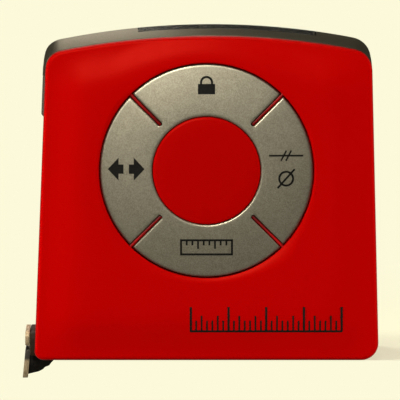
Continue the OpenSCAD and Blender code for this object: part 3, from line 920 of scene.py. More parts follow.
def units_mark():
    """A little ruler with ticks along its upper edge."""
    low, high, half, width = -17.15, -14.25, 5.2, 0.42
    shapes = [stroke([(-half, v), (half, v)], width, width / 2) for v in (low, high)]
    shapes += [stroke([(u, low), (u, high)], width) for u in (-half, half)]
    ticks = 9
    for k in range(1, ticks):
        u = -half + 2 * half * k / ticks
        shapes.append(stroke([(u, high - 0.1), (u, high - (1.75 if k % 3 == 0 else 1.05))], 0.38))
    return shapes


def offset_mark():
    """Two blunt arrows that point away from each other."""
    u, v = -16.4, 0.3
    half, shaft = 2.35, 0.95
    shapes = []
    for side in (-1, 1):
        tip, back, tail = u + side * 3.75, u + side * 1.55, u + side * 0.55
        shapes.append([(tip, v), (back, v + half), (back, v - half)])
        back += side * 0.05
        shapes.append([(back, v + shaft), (tail, v + shaft), (tail, v - shaft), (back, v - shaft)])
    return shapes


def centre_mark():
    """A line with two slashes over a circle with a slash."""
    u, v = 16.25, 3.05
    width = 0.36
    shapes = [stroke([(u - 3.5, v), (u + 3.5, v)], width)]
    for shift in (-0.5, 0.5):
        shapes.append(stroke([(u + shift - 0.55, v - 1.05), (u + shift + 0.55, v + 1.05)], width * 0.9))
    low = v - 4.7
    shapes += ring_strips(u, low, 1.42, 0.42)
    shapes.append(stroke([(u - 1.75, low - 1.95), (u + 1.75, low + 1.95)], 0.4))
    return shapes


def ruler_row():
    """A plain row of ruler ticks at the foot of the front cover."""
    x0, x1, low, ticks = -3.2, 27.6, 6.0, 28
    shapes = [stroke([(x0 - 0.15, low), (x1 + 0.15, low)], 0.42)]
    for k in range(ticks + 1):
        x = x0 + (x1 - x0) * k / ticks
        height = 5.0 if k % 7 == 0 else 3.2 if k % 7 in (2, 5) else 2.2
        shapes.append(stroke([(x, low), (x, low + height)], 0.46 if k % 7 == 0 else 0.34))
    return shapes


# ---- Hook, blade end and mouth ----
hook_lo, hook_hi = box("end_hook")
LIP_X = -37.05
LIP_LOW_Z = hook_lo.z
LIP_TOP_Z = hook_hi.z
BLADE_Y = (tongue_lo.y + tongue_hi.y) / 2
BLADE_HALF = (tongue_hi.y - tongue_lo.y) / 2
PLATE_Z = 1.3
PLATE_T = 0.85
RIVET_XS = (-33.7, -30.4)


def plate_outline(half, low, high, low_r, high_r, notch=0.0):
    """A plate seen square on, with rounded corners and a keyhole notch in its lower edge."""
    points = []
    if notch:
        keyhole_r, middle = 1.65, low + 2.3
        points += [(-notch, low), (-notch, low + 1.3)]
        points += [(keyhole_r * sin(radians(a)), middle - keyhole_r * cos(radians(a)))
                   for a in range(-35, -326, -24)]
        points += [(notch, low + 1.3), (notch, low)]
    points += arc(half - low_r, low + low_r, low_r, -90, 0, 6)
    points += arc(half - high_r, high - high_r, high_r, 0, 90, 6)
    points += arc(-half + high_r, high - high_r, high_r, 90, 180, 6)
    points += arc(-half + low_r, low + low_r, low_r, 180, 270, 6)
    return points


PLATE_END_X = RIVET_XS[1] + 3
HOOK_LEAN = 0.5 / 5.2
# Seen from the side: the bend between lip and plate, and the stiffening wings under the plate
HOOK_NECK = [(0.1, 2.5), (0.7, 2.6), (1.0, 2.12), (1.6, 2.12), (1.6, 1.3), (0.75, 0.3), (0.1, 0.6),
             (-0.02, 1.08), (0.8, 1.42), (0.02, 2.2)]
HOOK_WING = [(LIP_X + 0.2, LIP_LOW_Z + 0.75), (-34.4, -3.35), (-33.6, -2.95), (-33.1, -2.45),
             (-32.3, -2.15), (-31.8, -1.5), (-31.4, -1.1), (-31.4, 0.4), (-32.2, PLATE_Z + 0.4),
             (LIP_X + 1.2, PLATE_Z + 0.4), (LIP_X + 0.3, 0.4)]
# Half of the plate from above, from the lip to its end
HOOK_PLATE = [(LIP_X + 1.0, 7.5), (-34.9, 7.5), (-33.9, 5.6), (PLATE_END_X - 2.2, 5.2),
              (PLATE_END_X - 0.6, 4.2), (PLATE_END_X, 2.4)]


def end_hook():
    """The hook: a lip below the blade, a tab above it, a plate under the blade and two wings."""
    bm = bmesh.new()
    half = BLADE_HALF + 0.2

    def sideways(x, z, y):
        return (x, y, z)

    add_prism(bm, plate_outline(half, LIP_LOW_Z, 1.15, 1.6, 0.25, 1.1), 0.0, 1.05,
              lambda u, v, depth: (LIP_X - 0.12 - (1.1 - v) * HOOK_LEAN + depth, BLADE_Y + u, v))
    add_prism(bm, plate_outline(half, 2.1, LIP_TOP_Z, 0.3, 1.2), 0.0, 0.9,
              lambda u, v, depth: (LIP_X - 0.15 + depth + max(0.0, v - 4.4) * 0.12, BLADE_Y + u, v))
    add_prism(bm, [(LIP_X + x, z) for x, z in HOOK_NECK], BLADE_Y - half + 0.15, BLADE_Y + half - 0.15,
              sideways)
    base = [(x, -y) for x, y in HOOK_PLATE] + HOOK_PLATE[::-1]
    add_prism(bm, base, PLATE_Z, PLATE_Z + PLATE_T, lambda x, y, z: (x, BLADE_Y + y, z))
    ear_x0, ear_x1, ear_half = LIP_X + 1.2, -32.4, 1.9
    ear = [(ear_x0, -ear_half), (ear_x1, -ear_half), (ear_x1, ear_half), (ear_x0, ear_half)]
    for side in (-1, 1):
        at = BLADE_Y + side * (half - 1.3)
        add_prism(bm, HOOK_WING, at - 0.42, at + 0.42, sideways)
        ear_at = BLADE_Y + side * 7.0
        add_prism(bm, ear, PLATE_Z - 0.55, PLATE_Z + 0.3, lambda x, y, z: (x, ear_at + y, z))
    made = make_object("end_hook_steel", bm)
    add_bevel(made, 0.28, 3)
    return made


RIVET_TOP_Z = 2.6
# Radius, and height over the plate's lower face or over the rivet's top
RIVET_LOW = ((0.05, -0.55), (1.1, -0.52), (1.65, -0.4), (1.88, -0.2), (1.88, -0.05), (1.1, -0.03))
RIVET_HIGH = ((1.1, 0.0), (1.88, 0.02), (1.88, 0.14), (1.6, 0.32), (1.0, 0.43), (0.05, 0.46))


def hook_rivets():
    bm = bmesh.new()
    profile = [(r, PLATE_Z + h) for r, h in RIVET_LOW] + [(r, RIVET_TOP_Z + h) for r, h in RIVET_HIGH]
    for x in RIVET_XS:
        lathe(bm, profile, lambda u, v, h, x=x: (x + u, BLADE_Y + v, h), 28)
    return make_object("hook_rivet_pair", bm)


BLADE_LENGTH = 4880.0
TONGUE_Z = 2.35
COIL_X = -7.5


BLADE_ROWS, BLADE_STRIPS = 90, 12
BLADE_T = 0.14
COIL_LOW_Z = 2.65


def smooth_root(share):
    """Where smooth() reaches a share, found by halving."""
    low, high = 0.0, 1.0
    for _ in range(40):
        middle = (low + high) / 2
        if smooth(middle) < share:
            low = middle
        else:
            high = middle
    return low


def blade_run():
    """The blade from the coil to the hook. Its rows are packed so that they lie evenly pulled out.

    The share of the pull that a row takes is smooth(t); the rows sit where that share is even.
    """
    start, end = COIL_X - 0.5, tongue_lo.x
    places = [-0.02] + [smooth_root(k / BLADE_ROWS) for k in range(BLADE_ROWS + 1)]
    spans = [2 * j / BLADE_STRIPS - 1 for j in range(BLADE_STRIPS + 1)]
    rows, marks = [], []
    for t in places:
        x = start + (end - start) * t
        mid = COIL_LOW_Z + (TONGUE_Z - COIL_LOW_Z) * smooth((COIL_X - x) / 18)
        cup = (tongue_hi.z - TONGUE_Z - 0.1) * smooth((COIL_X - 2.5 - x) / 20)
        rows.append([(x, BLADE_Y + BLADE_HALF * span, mid + cup * span ** 2 - BLADE_T / 2) for span in spans])
        marks.append(smooth(t) * BLADE_LENGTH + (start - x))
    bm = bmesh.new()
    add_skin(bm, rows, lambda p: (p[0], p[1], p[2] + BLADE_T))
    made = make_object("blade_free_end", bm)
    along = made.data.attributes.new("blade_place", "FLOAT", "POINT")
    across = made.data.attributes.new("blade_side", "FLOAT", "POINT")
    for k, (vert, a, b) in enumerate(zip(made.data.vertices, along.data, across.data)):
        a.value = marks[k // len(spans) % len(rows)] * MM
        b.value = (vert.co.y / MM - BLADE_Y) / BLADE_HALF
    return made


BUMPER_R = 1.6
MOUTH_CORNER = 0.6


def mouth_bumper():
    """The rubber frame round the mouth."""
    bm = bmesh.new()
    middle = (bumper_lo.y + bumper_hi.y) / 2
    half = (bumper_hi.y - bumper_lo.y) / 2
    low, high, top = bumper_lo.z, bumper_hi.z - 0.3, MOUTH_TOP_Z - 0.1
    corner = arc(half - BUMPER_R, high - BUMPER_R, BUMPER_R, 0, 90, 6)
    inside = [(-MOUTH_HALF, low), (-MOUTH_HALF, top - MOUTH_CORNER), (-MOUTH_HALF + MOUTH_CORNER, top)]
    outline = ([(half, low)] + corner + [(-u, v) for u, v in reversed(corner)] + [(-half, low)]
               + inside + [(-u, v) for u, v in reversed(inside)])
    add_prism(bm, outline, bumper_lo.x, bumper_hi.x, lambda u, v, x: (x, middle + u, v))
    made = make_object("mouth_bumper_rubber", bm)
    add_bevel(made, 0.28, 3)
    return made


# ---- Thumb lock ----
GROOVES, GROOVE_DEEP = 5, 0.28
BUTTON_ROWS, BUTTON_COLUMNS = 90, 20


def lock_button():
    """The thumb button: a thin pad on the wall with shallow grooves across its middle."""
    bm = bmesh.new()
    length = BUTTON_HIGH - BUTTON_LOW
    ups = [BUTTON_LOW + length * k / BUTTON_ROWS for k in range(BUTTON_ROWS + 1)]
    sides = [-BUTTON_HALF + 2 * BUTTON_HALF * k / BUTTON_COLUMNS for k in range(BUTTON_COLUMNS + 1)]

    def proud(y, up):
        end = min(up - BUTTON_LOW, BUTTON_HIGH - up)
        side = BUTTON_HALF - abs(y)
        wave = 0.5 + 0.5 * cos(2 * pi * GROOVES * (up - BUTTON_LOW) / length)
        dip = GROOVE_DEEP * wave * smooth((side - 0.9) / 0.6) * smooth((end - 0.5) / 0.5)
        return BUTTON_PROUD * smooth(min(end / 0.9, side / 0.6) + 0.1) - dip

    rows = [[wall_point(proud(y, up), lock_y + y, up) for y in sides] for up in ups]
    flat = {point: wall_point(0.08, lock_y + y, up)
            for up, row in zip(ups, rows) for y, point in zip(sides, row)}
    add_skin(bm, rows, lambda p: flat[p])
    wall_prism(bm, [(-3.8, 51.5), (3.8, 51.5), (3.8, 56.8), (-3.8, 56.8)], -2.2, 0.2)
    return make_object("lock_thumb_button", bm)


def wall_plate(name, outline, low, high, bevel):
    """A plate behind the leaning wall, with its edges rounded."""
    bm = bmesh.new()
    wall_prism(bm, outline, low, high)
    made = make_object(name, bm)
    add_bevel(made, bevel, 2)
    return made


def lock_arm():
    """The sprung steel strip behind the wall, from the button down to the shoe."""
    outline = [(-4, 11.2), (-3.3, 10.5), (3.3, 10.5), (4, 11.2), (4, 61.4), (3.4, 62), (-3.4, 62), (-4, 61.4)]
    return wall_plate("lock_steel_arm", outline, -3.0, -2.2, 0.12)


def lock_shoe():
    """The rubber shoe that the arm presses on the blade."""
    outline = [(-4, 9.2), (-3.5, 8.7), (3.5, 8.7), (4, 9.2), (4, 10.45), (-4, 10.45)]
    return wall_plate("lock_rubber_shoe", outline, -3.5, -2.1, 0.15)


# ---- Screws and belt clip ----
CROSS_ARM = 0.24
# A pan head's profile as shares of its radius and height
PAN_HEAD = ((1.0, 0.0), (1.0, 0.45), (0.93, 0.78), (0.75, 0.96), (0.6, 1.0))
CROSS_LEVELS = ((1.0, 0.0), (0.92, 0.12), (0.55, 0.75), (0.12, 0.95))


def cross_recess_head(bm, x, z, y_seat, radius, height, cross, steps=32):
    """A pan head seen from +Y, with a cross-shaped recess pressed into it."""
    def cross_r(k):
        """A rounded cross: long along both axes, narrow between them."""
        a = abs((degrees(2 * pi * k / steps) + 45) % 90 - 45)
        if a < degrees(asin(CROSS_ARM)):
            return cross
        return min(cross, max(CROSS_ARM * cross / sin(radians(a)), 0.34 * cross))

    turns = circle(steps)
    rings = [[(x + radius * share * c, y_seat + height * rise, z + radius * share * s) for c, s in turns]
             for share, rise in PAN_HEAD]
    for scale, depth in CROSS_LEVELS:
        rings.append([(x + scale * cross_r(k) * c, y_seat + (height - depth), z + scale * cross_r(k) * s)
                      for k, (c, s) in enumerate(turns)])
    add_rings(bm, rings)


def case_screws():
    bm = bmesh.new()
    shank_r = 0.95
    shank = [(0.05, screw_lo.y), (0.5, screw_lo.y + 0.5), (shank_r, screw_lo.y + 1.2),
             (shank_r, SCREW_SEAT_Y + 0.1)]
    for x, z in SCREWS:
        cross_recess_head(bm, x, z, SCREW_SEAT_Y, 2.1, 1.45, 1.15)
        lathe(bm, shank, lambda u, v, h, x=x, z=z: (x + u, h, z + v), 24)
    return make_object("case_screw_set", bm)


clip_screw_lo, clip_screw_hi = box("clip_screw")
CLIP_X = (clip_lo.x + clip_hi.x) / 2
CLIP_HALF = (clip_hi.x - clip_lo.x) / 2
CLIP_T = foot_hi.y - foot_lo.y
CLIP_SCREW_Z = (clip_screw_lo.z + clip_screw_hi.z) / 2


def clip_screw():
    bm = bmesh.new()
    cross_recess_head(bm, CLIP_X, CLIP_SCREW_Z, REAR_Y + CLIP_T, 2.6, 1.15, 1.3)
    shank = [(0.05, clip_screw_lo.y), (0.5, clip_screw_lo.y + 0.4), (1.0, clip_screw_lo.y + 1),
             (1.0, REAR_Y + CLIP_T + 0.1)]
    lathe(bm, shank, lambda u, v, h: (CLIP_X + u, h, CLIP_SCREW_Z + v), 24)
    return make_object("clip_fixing_screw", bm)


CLIP_BEND_R = 1.7
CLIP_NARROWER = 2.2
CLIP_CROWN = 0.25
CLIP_COLUMNS = (-1, -0.985, -0.94, -0.7, -0.35, 0, 0.35, 0.7, 0.94, 0.985, 1)
# The curled end: how far it has come in from the tongue, and its height over the tip
CLIP_CURL = ((0.25, 4.3), (0.9, 3.2), (1.9, 2.2), (2.8, 1.6), (3.3, 1.1), (3.35, 0.55))


def clip_path():
    """The strip's middle line seen from the side: foot, step out, tongue and curled end."""
    foot, out = REAR_Y + CLIP_T / 2, clip_hi.y - CLIP_T / 2
    bend_z, low_z = foot_lo.z, clip_lo.z
    path = [(foot, z) for z in (foot_hi.z - CLIP_T / 2, 55.5, 53.0, 50.5, 48.5)]
    path += arc(foot + CLIP_BEND_R, bend_z + 1.0, CLIP_BEND_R, 180, 235, 6)[1:]
    path += arc(out - CLIP_BEND_R, bend_z - 2.9, CLIP_BEND_R, 62, 0, 6)
    top, low = bend_z - 3.2, low_z + 5.5
    path += [(out, top + (low - top) * k / 14) for k in range(1, 15)]
    return path + [(out - inward, low_z + up) for inward, up in CLIP_CURL]


def belt_clip():
    """One bent strip of steel: a foot on the case, a step out and a long tongue with a curled end."""
    path = clip_path()
    lengths = [0.0]
    for a, b in zip(path, path[1:]):
        lengths.append(lengths[-1] + hypot(b[0] - a[0], b[1] - a[1]))

    def half_at(s):
        """The strip is a little narrower towards its tip, with rounded corners at both ends."""
        body = CLIP_HALF - CLIP_NARROWER * smooth((s - 22) / 30)
        for near, radius in ((s, 3.0), (lengths[-1] - s, 4.0)):
            if near < radius:
                body -= radius - sqrt(radius ** 2 - (radius - near) ** 2)
        return body

    rows, behind = [], {}
    for k, (y, z) in enumerate(path):
        before, after = path[max(k - 1, 0)], path[min(k + 1, len(path) - 1)]
        dy, dz = after[0] - before[0], after[1] - before[1]
        ny, nz = -dz / hypot(dy, dz), dy / hypot(dy, dz)
        half = half_at(lengths[k])
        crown = CLIP_CROWN * smooth((lengths[k] - 14) / 6)
        rows.append([])
        for c in CLIP_COLUMNS:
            bulge = crown * (1 - c * c)
            front, back = CLIP_T / 2 + bulge, CLIP_T / 2 - bulge
            point = (CLIP_X + half * c, y + ny * front, z + nz * front)
            behind[point] = (CLIP_X + half * c, y - ny * back, z - nz * back)
            rows[-1].append(point)
    bm = bmesh.new()
    add_skin(bm, rows, lambda p: behind[p])
    made = make_object("belt_clip_steel", bm)
    carve(made, [cutter_rod("clip_hole", CLIP_X, CLIP_SCREW_Z, 1.25, REAR_Y - 1, REAR_Y + 2)])
    add_bevel(made, 0.16, 2, 50)
    return made


# ---- Materials ----
def tone(red, green, blue):
    """A linear colour from 8-bit display values."""
    def linear(value):
        value /= 255.0
        return value / 12.92 if value <= 0.04045 else ((value + 0.055) / 1.055) ** 2.4
    return (linear(red), linear(green), linear(blue), 1.0)


class Nodes:
    """A node tree, with short calls for the few kinds of node that are used here."""

    def __init__(self, owner):
        owner.use_nodes = True
        self.tree = owner.node_tree
        self.tree.nodes.clear()

    def add(self, kind, **values):
        """A node; each value is one of its settings or the constant of one of its sockets."""
        made = self.tree.nodes.new(kind)
        for key, value in values.items():
            if hasattr(made, key):
                setattr(made, key, value)
            else:
                made.inputs[key.replace("_", " ")].default_value = value
        return made

    def link(self, source, target):
        self.tree.links.new(source, target)

    def feed(self, value, socket):
        """Gives a socket a constant or an output."""
        if isinstance(value, (float, tuple)):
            socket.default_value = value
        else:
            self.link(value, socket)

    def coords(self, kind):
        return self.add("ShaderNodeTexCoord").outputs[kind]

    def axis(self, vector, name):
        """One axis of a vector."""
        split = self.add("ShaderNodeSeparateXYZ")
        self.link(vector, split.inputs["Vector"])
        return split.outputs[name]

    def distance(self, vector, point):
        made = self.add("ShaderNodeVectorMath", operation="DISTANCE")
        self.feed(vector, made.inputs[0])
        self.feed(point, made.inputs[1])
        return made.outputs["Value"]

    def maths(self, operation, *values):
        made = self.add("ShaderNodeMath", operation=operation)
        for value, socket in zip(values, made.inputs):
            self.feed(value, socket)
        return made.outputs[0]

    def spread(self, source, low, high, start=0.3, end=0.7):
        """Maps the range start to end of a pattern onto low to high."""
        made = self.add("ShaderNodeMapRange", From_Min=start, From_Max=end, To_Min=low, To_Max=high)
        self.link(source, made.inputs["Value"])
        return made.outputs["Result"]


class Finish(Nodes):
    """A material: one principled shader and the patterns that drive it."""

    def __init__(self, name, colour, roughness=0.4, metallic=0.0, **constants):
        self.material = bpy.data.materials.new(name)
        super().__init__(self.material)
        output = self.add("ShaderNodeOutputMaterial")
        self.shader = self.add("ShaderNodeBsdfPrincipled")
        self.link(self.shader.outputs["BSDF"], output.inputs["Surface"])
        self.colour = colour
        self.set("Base Color", colour)
        self.set("Roughness", roughness)
        self.set("Metallic", metallic)
        for socket, value in constants.items():
            self.set(socket.replace("_", " "), value)
        self.material.diffuse_color = colour

    def set(self, socket, value):
        self.shader.inputs[socket].default_value = value

    def place(self, stretch=(1.0, 1.0, 1.0)):
        """Object coordinates in metres, stretched."""
        mapping = self.add("ShaderNodeMapping", Scale=stretch)
        self.link(self.coords("Object"), mapping.inputs["Vector"])
        return mapping.outputs["Vector"]

    def noise(self, size_mm, detail=3.0, rough=0.5, stretch=(1.0, 1.0, 1.0)):
        """Noise whose features are about size_mm wide."""
        made = self.add("ShaderNodeTexNoise", Scale=1.0 / (size_mm * MM), Detail=detail, Roughness=rough)
        self.link(self.place(stretch), made.inputs["Vector"])
        return made.outputs["Fac"]

    def flakes(self, size_mm):
        """Cells of a random tone each, about size_mm wide."""
        made = self.add("ShaderNodeTexVoronoi", Scale=1.0 / (size_mm * MM))
        self.link(self.place(), made.inputs["Vector"])
        return made.outputs["Color"]

    def ramp(self, source, low, high, start=0.3, end=0.7):
        """Turns a pattern into colours or greys from low to high."""
        made = self.add("ShaderNodeValToRGB")
        for element, place, colour in zip(made.color_ramp.elements, (start, end), (low, high)):
            element.position = place
            element.color = colour if isinstance(colour, tuple) else (colour, colour, colour, 1.0)
        self.link(source, made.inputs["Fac"])
        return made.outputs["Color"]

    def mix(self, factor, a, b, blend="MIX"):
        """Mixes two colours; each may be a constant or an output."""
        made = self.add("ShaderNodeMix", data_type="RGBA", blend_type=blend)
        for value, socket in ((factor, made.inputs[0]), (a, made.inputs[6]), (b, made.inputs[7])):
            self.feed(value, socket)
        return made.outputs[2]

    def paint(self, source):
        self.link(source, self.shader.inputs["Base Color"])
        return self

    def vary(self, source, dark=0.85, light=1.1, start=0.3, end=0.7):
        """Varies the base colour from dark to light times itself over a pattern."""
        low, high = (tuple(min(1.0, c * level) for c in self.colour[:3]) + (1.0,) for level in (dark, light))
        return self.paint(self.ramp(source, low, high, start, end))

    def roughen(self, source, low, high, start=0.3, end=0.7):
        self.link(self.spread(source, low, high, start, end), self.shader.inputs["Roughness"])
        return self

    def bump(self, source, depth_mm, strength=1.0):
        made = self.add("ShaderNodeBump", Strength=strength, Distance=depth_mm * MM)
        self.link(source, made.inputs["Height"])
        self.link(made.outputs["Normal"], self.shader.inputs["Normal"])
        return self


def moulded_red():
    """Glossy moulded plastic: a faint orange peel, a trace of uneven colour, and painted shade: the walls and
    the disc in the key ring are painted a darker red.
    """
    finish = Finish("moulded_red", (0.56, 0.0006, 0.0004, 1.0), 0.3, Specular_IOR_Level=0.12,
                    Specular_Tint=(1.0, 0.10, 0.06, 1.0))
    # Painted shade: where the surface turns away from the faces towards the walls, it is painted a darker
    # red.
    facing = finish.maths("ABSOLUTE", finish.axis(finish.coords("Normal"), "Y"))
    tint = finish.ramp(finish.noise(14.0, 2.0), (0.55, 0.0006, 0.0004, 1.0), (0.565, 0.0006, 0.0004, 1.0))
    shaded_walls = finish.mix(finish.spread(facing, 0.0, 1.0, 0.35, 0.96), (0.24, 0.0006, 0.0004, 1.0), tint)
    # Painted shade: the disc in the middle of the key ring is painted a darker red.
    reach = finish.distance(finish.place((1.0, 0.0, 1.0)), (RING_X * MM, 0.0, RING_Z * MM))
    disc = finish.spread(reach, 1.0, 0.0, DISC_R * MM, (DISC_R + 1) * MM)
    finish.paint(finish.mix(disc, shaded_walls, (0.49, 0.0006, 0.0004, 1.0)))
    finish.roughen(finish.noise(3.0, 2.0), 0.29, 0.32)
    return finish.bump(finish.noise(0.8, 2.0), 0.001, 0.2)


def rib_red():
    """The same plastic, matt down in the slots."""
    finish = Finish("rib_red", (0.48, 0.001, 0.001, 1.0), 0.4, Specular_IOR_Level=0.2)
    return finish.vary(finish.noise(0.8), 0.85, 1.1)


def key_metal():
    """Warm grey metallic paint with fine flakes."""
    finish = Finish("key_metal_paint", (0.40, 0.365, 0.27, 1.0), 0.4, 0.82)
    grain = finish.ramp(finish.flakes(0.16), (0.31, 0.28, 0.205, 1.0), (0.47, 0.43, 0.325, 1.0), 0.15, 0.85)
    cloud = finish.ramp(finish.noise(2.2, 5.0), 0.92, 1.0)
    finish.paint(finish.mix(1.0, grain, cloud, "MULTIPLY"))
    finish.roughen(finish.noise(0.2, 4.0), 0.31, 0.42)
    return finish.bump(finish.noise(0.18, 2.0), 0.006, 0.4)


def bezel_metal():
    """Dark metallic paint on the top bezel."""
    finish = Finish("bezel_dark_paint", (0.055, 0.05, 0.036, 1.0), 0.36, 0.75,
                    Specular_Tint=(1.0, 0.9, 0.7, 1.0))
    dark, light = (0.04, 0.036, 0.026, 1.0), (0.075, 0.068, 0.05, 1.0)
    finish.paint(finish.ramp(finish.flakes(0.18), dark, light, 0.1, 0.9))
    finish.roughen(finish.noise(0.3, 4.0), 0.32, 0.42)
    return finish.bump(finish.noise(0.2, 2.0), 0.004, 0.3)


def ink():
    finish = Finish("printed_ink", (0.007, 0.0065, 0.005, 1.0), 0.6, Specular_IOR_Level=0.12)
    finish.vary(finish.noise(0.4), 0.7, 1.4)
    return finish.bump(finish.noise(0.12, 2.0), 0.002, 0.3)


def bumper_rubber():
    finish = Finish("bumper_rubber", (0.022, 0.012, 0.005, 1.0), 0.62, Specular_IOR_Level=0.15)
    finish.vary(finish.noise(1.4, 5.0), 0.75, 1.35)
    finish.roughen(finish.noise(0.5, 4.0), 0.5, 0.75)
    return finish.bump(finish.noise(0.22, 3.0), 0.02, 0.5)


def button_rubber():
    finish = Finish("button_rubber", (0.05, 0.038, 0.027, 1.0), 0.46)
    finish.vary(finish.noise(1.1, 4.0), 0.8, 1.2)
    finish.roughen(finish.noise(0.4, 4.0), 0.42, 0.62)
    return finish.bump(finish.noise(0.15, 3.0), 0.012, 0.5)


def dark_nickel():
    """The hook's plated steel, rubbed brighter in places."""
    finish = Finish("dark_nickel", (0.02, 0.017, 0.013, 1.0), 0.36, 0.6, Specular_IOR_Level=0.25)
    finish.vary(finish.noise(0.9, 6.0, 0.65), 0.55, 1.7, 0.35, 0.72)
    finish.roughen(finish.noise(0.35, 5.0), 0.24, 0.5)
    return finish.bump(finish.noise(0.2, 4.0, stretch=(1.0, 1.0, 6.0)), 0.008, 0.4)


def cut_edge():
    """Bare bronze-coloured edge of the punched sheet, dark over a band of height where the lip meets the
    neck.
    """
    finish = Finish("hook_cut_edge", (0.45, 0.35, 0.2, 1.0), 0.5, 0.5)
    bare = finish.ramp(finish.noise(0.3, 4.0), (0.34, 0.26, 0.15, 1.0), (0.54, 0.43, 0.26, 1.0))
    height = finish.axis(finish.place(), "Z")
    low = finish.spread(height, 1.0, 0.0, -0.0013, -0.0006)
    high = finish.spread(height, 0.0, 1.0, 0.0019, 0.0023)
    finish.paint(finish.mix(finish.maths("MAXIMUM", low, high), (0.05, 0.042, 0.032, 1.0), bare))
    return finish.bump(finish.noise(0.1, 3.0, stretch=(6.0, 6.0, 1.0)), 0.01, 0.5)


def metal(name, colour, low, high, stretch, size=0.3):
    """Brushed or drawn metal, with its streaks along one axis."""
    finish = Finish(name, colour, (low + high) / 2, 1.0)
    streaks = finish.noise(size, 5.0, 0.6, stretch)
    finish.vary(finish.noise(size * 7, 4.0), 0.88, 1.06)
    finish.roughen(streaks, low, high)
    return finish.bump(streaks, 0.006, 0.35)


def plastic(name, colour, low, high, peel=0.5, depth=0.006):
    finish = Finish(name, colour, (low + high) / 2)
    finish.vary(finish.noise(peel * 9, 4.0), 0.9, 1.08)
    finish.roughen(finish.noise(peel, 4.0), low, high)
    return finish.bump(finish.noise(peel * 0.6, 3.0), depth, 0.4)


def circuit_board():
    """Green solder mask over a pattern of tracks."""
    finish = Finish("circuit_board", (0.012, 0.10, 0.035, 1.0), 0.3)
    tracks = finish.add("ShaderNodeTexBrick", Scale=260.0, Mortar_Size=0.035, Brick_Width=0.9,
                        Row_Height=0.22, Color1=(0.010, 0.085, 0.03, 1.0),
                        Color2=(0.014, 0.11, 0.04, 1.0), Mortar=(0.05, 0.24, 0.09, 1.0))
    finish.link(finish.place(), tracks.inputs["Vector"])
    cloud = finish.ramp(finish.noise(6.0), 0.85, 1.0)
    finish.paint(finish.mix(1.0, tracks.outputs["Color"], cloud, "MULTIPLY"))
    finish.roughen(finish.noise(1.2), 0.24, 0.38)
    return finish.bump(tracks.outputs["Fac"], 0.03, 0.4)


# The scale's ticks: pitch and width in metres, and where across the blade (-1 to 1) each kind starts
TICKS = ((0.001, 0.00022, 0.62), (0.005, 0.00030, 0.42), (0.010, 0.00042, 0.12), (0.1, 0.0016, -0.5))


def blade_lacquer():
    """Yellow lacquer with a generic scale: ticks every millimetre, longer each 5, 10 and 100."""
    finish = Finish("blade_yellow_lacquer", (0.86, 0.58, 0.05, 1.0), 0.32)
    place = finish.add("ShaderNodeAttribute", attribute_name="blade_place").outputs["Fac"]
    side = finish.add("ShaderNodeAttribute", attribute_name="blade_side").outputs["Fac"]
    marks = None
    for pitch, thick, reach in TICKS:
        on_line = finish.maths("LESS_THAN", finish.maths("MODULO", place, pitch), thick)
        tick = finish.maths("MULTIPLY", on_line, finish.maths("GREATER_THAN", side, reach))
        marks = finish.maths("MAXIMUM", marks, tick) if marks is not None else tick
    lacquer = finish.ramp(finish.noise(3.0, 4.0), (0.80, 0.53, 0.045, 1.0), (0.90, 0.61, 0.06, 1.0))
    finish.paint(finish.mix(marks, lacquer, (0.015, 0.014, 0.012, 1.0)))
    finish.roughen(finish.noise(0.8, 4.0), 0.26, 0.4)
    return finish.bump(finish.noise(0.5, 3.0), 0.004, 0.3)


def wound_blade():
    """The coil's edges: many thin turns of lacquered steel."""
    finish = Finish("wound_blade", (0.80, 0.56, 0.08, 1.0), 0.4, 0.3)
    turns = finish.noise(0.28, 3.0, stretch=(1.0, 0.02, 1.0))
    finish.paint(finish.ramp(turns, (0.32, 0.22, 0.04, 1.0), (0.86, 0.62, 0.09, 1.0), 0.35, 0.6))
    finish.roughen(turns, 0.3, 0.5)
    return finish.bump(turns, 0.05, 0.5)


def liquid_crystal():
    finish = Finish("liquid_crystal", (0.27, 0.31, 0.22, 1.0), 0.35)
    finish.vary(finish.noise(7.0, 2.0), 0.93, 1.05)
    finish.roughen(finish.noise(0.6), 0.3, 0.42)
    return finish.bump(finish.noise(0.2, 2.0), 0.002, 0.2)


def smoked_pane():
    """Smoked clear plastic over the display."""
    finish = Finish("smoked_pane", (0.40, 0.40, 0.38, 1.0), 0.04, Transmission_Weight=0.96, IOR=1.001,
                    Coat_Weight=0.15, Coat_Roughness=0.3)
    finish.vary(finish.noise(8.0, 2.0), 0.95, 1.03)
    return finish.roughen(finish.noise(2.5, 3.0), 0.03, 0.07)


def cell_wrap():
    """Printed foil round the battery, with a plain dark band."""
    finish = Finish("cell_wrap", (0.42, 0.47, 0.52, 1.0), 0.3, 0.6)
    band = finish.spread(finish.axis(finish.place(), "Z"), 0.0, 1.0, 0.0228, 0.0231)
    foil = finish.ramp(finish.noise(2.0, 4.0), (0.36, 0.41, 0.46, 1.0), (0.46, 0.51, 0.56, 1.0))
    finish.paint(finish.mix(band, foil, (0.03, 0.045, 0.10, 1.0)))
    finish.roughen(finish.noise(0.6, 4.0), 0.24, 0.38)
    return finish.bump(finish.noise(0.4, 3.0), 0.006, 0.3)


def amber_film():
    finish = Finish("amber_film", (0.42, 0.17, 0.025, 1.0), 0.3)
    finish.vary(finish.noise(0.5, 3.0, stretch=(4.0, 0.4, 0.4)), 0.6, 1.2)
    return finish.roughen(finish.noise(0.8), 0.25, 0.4)


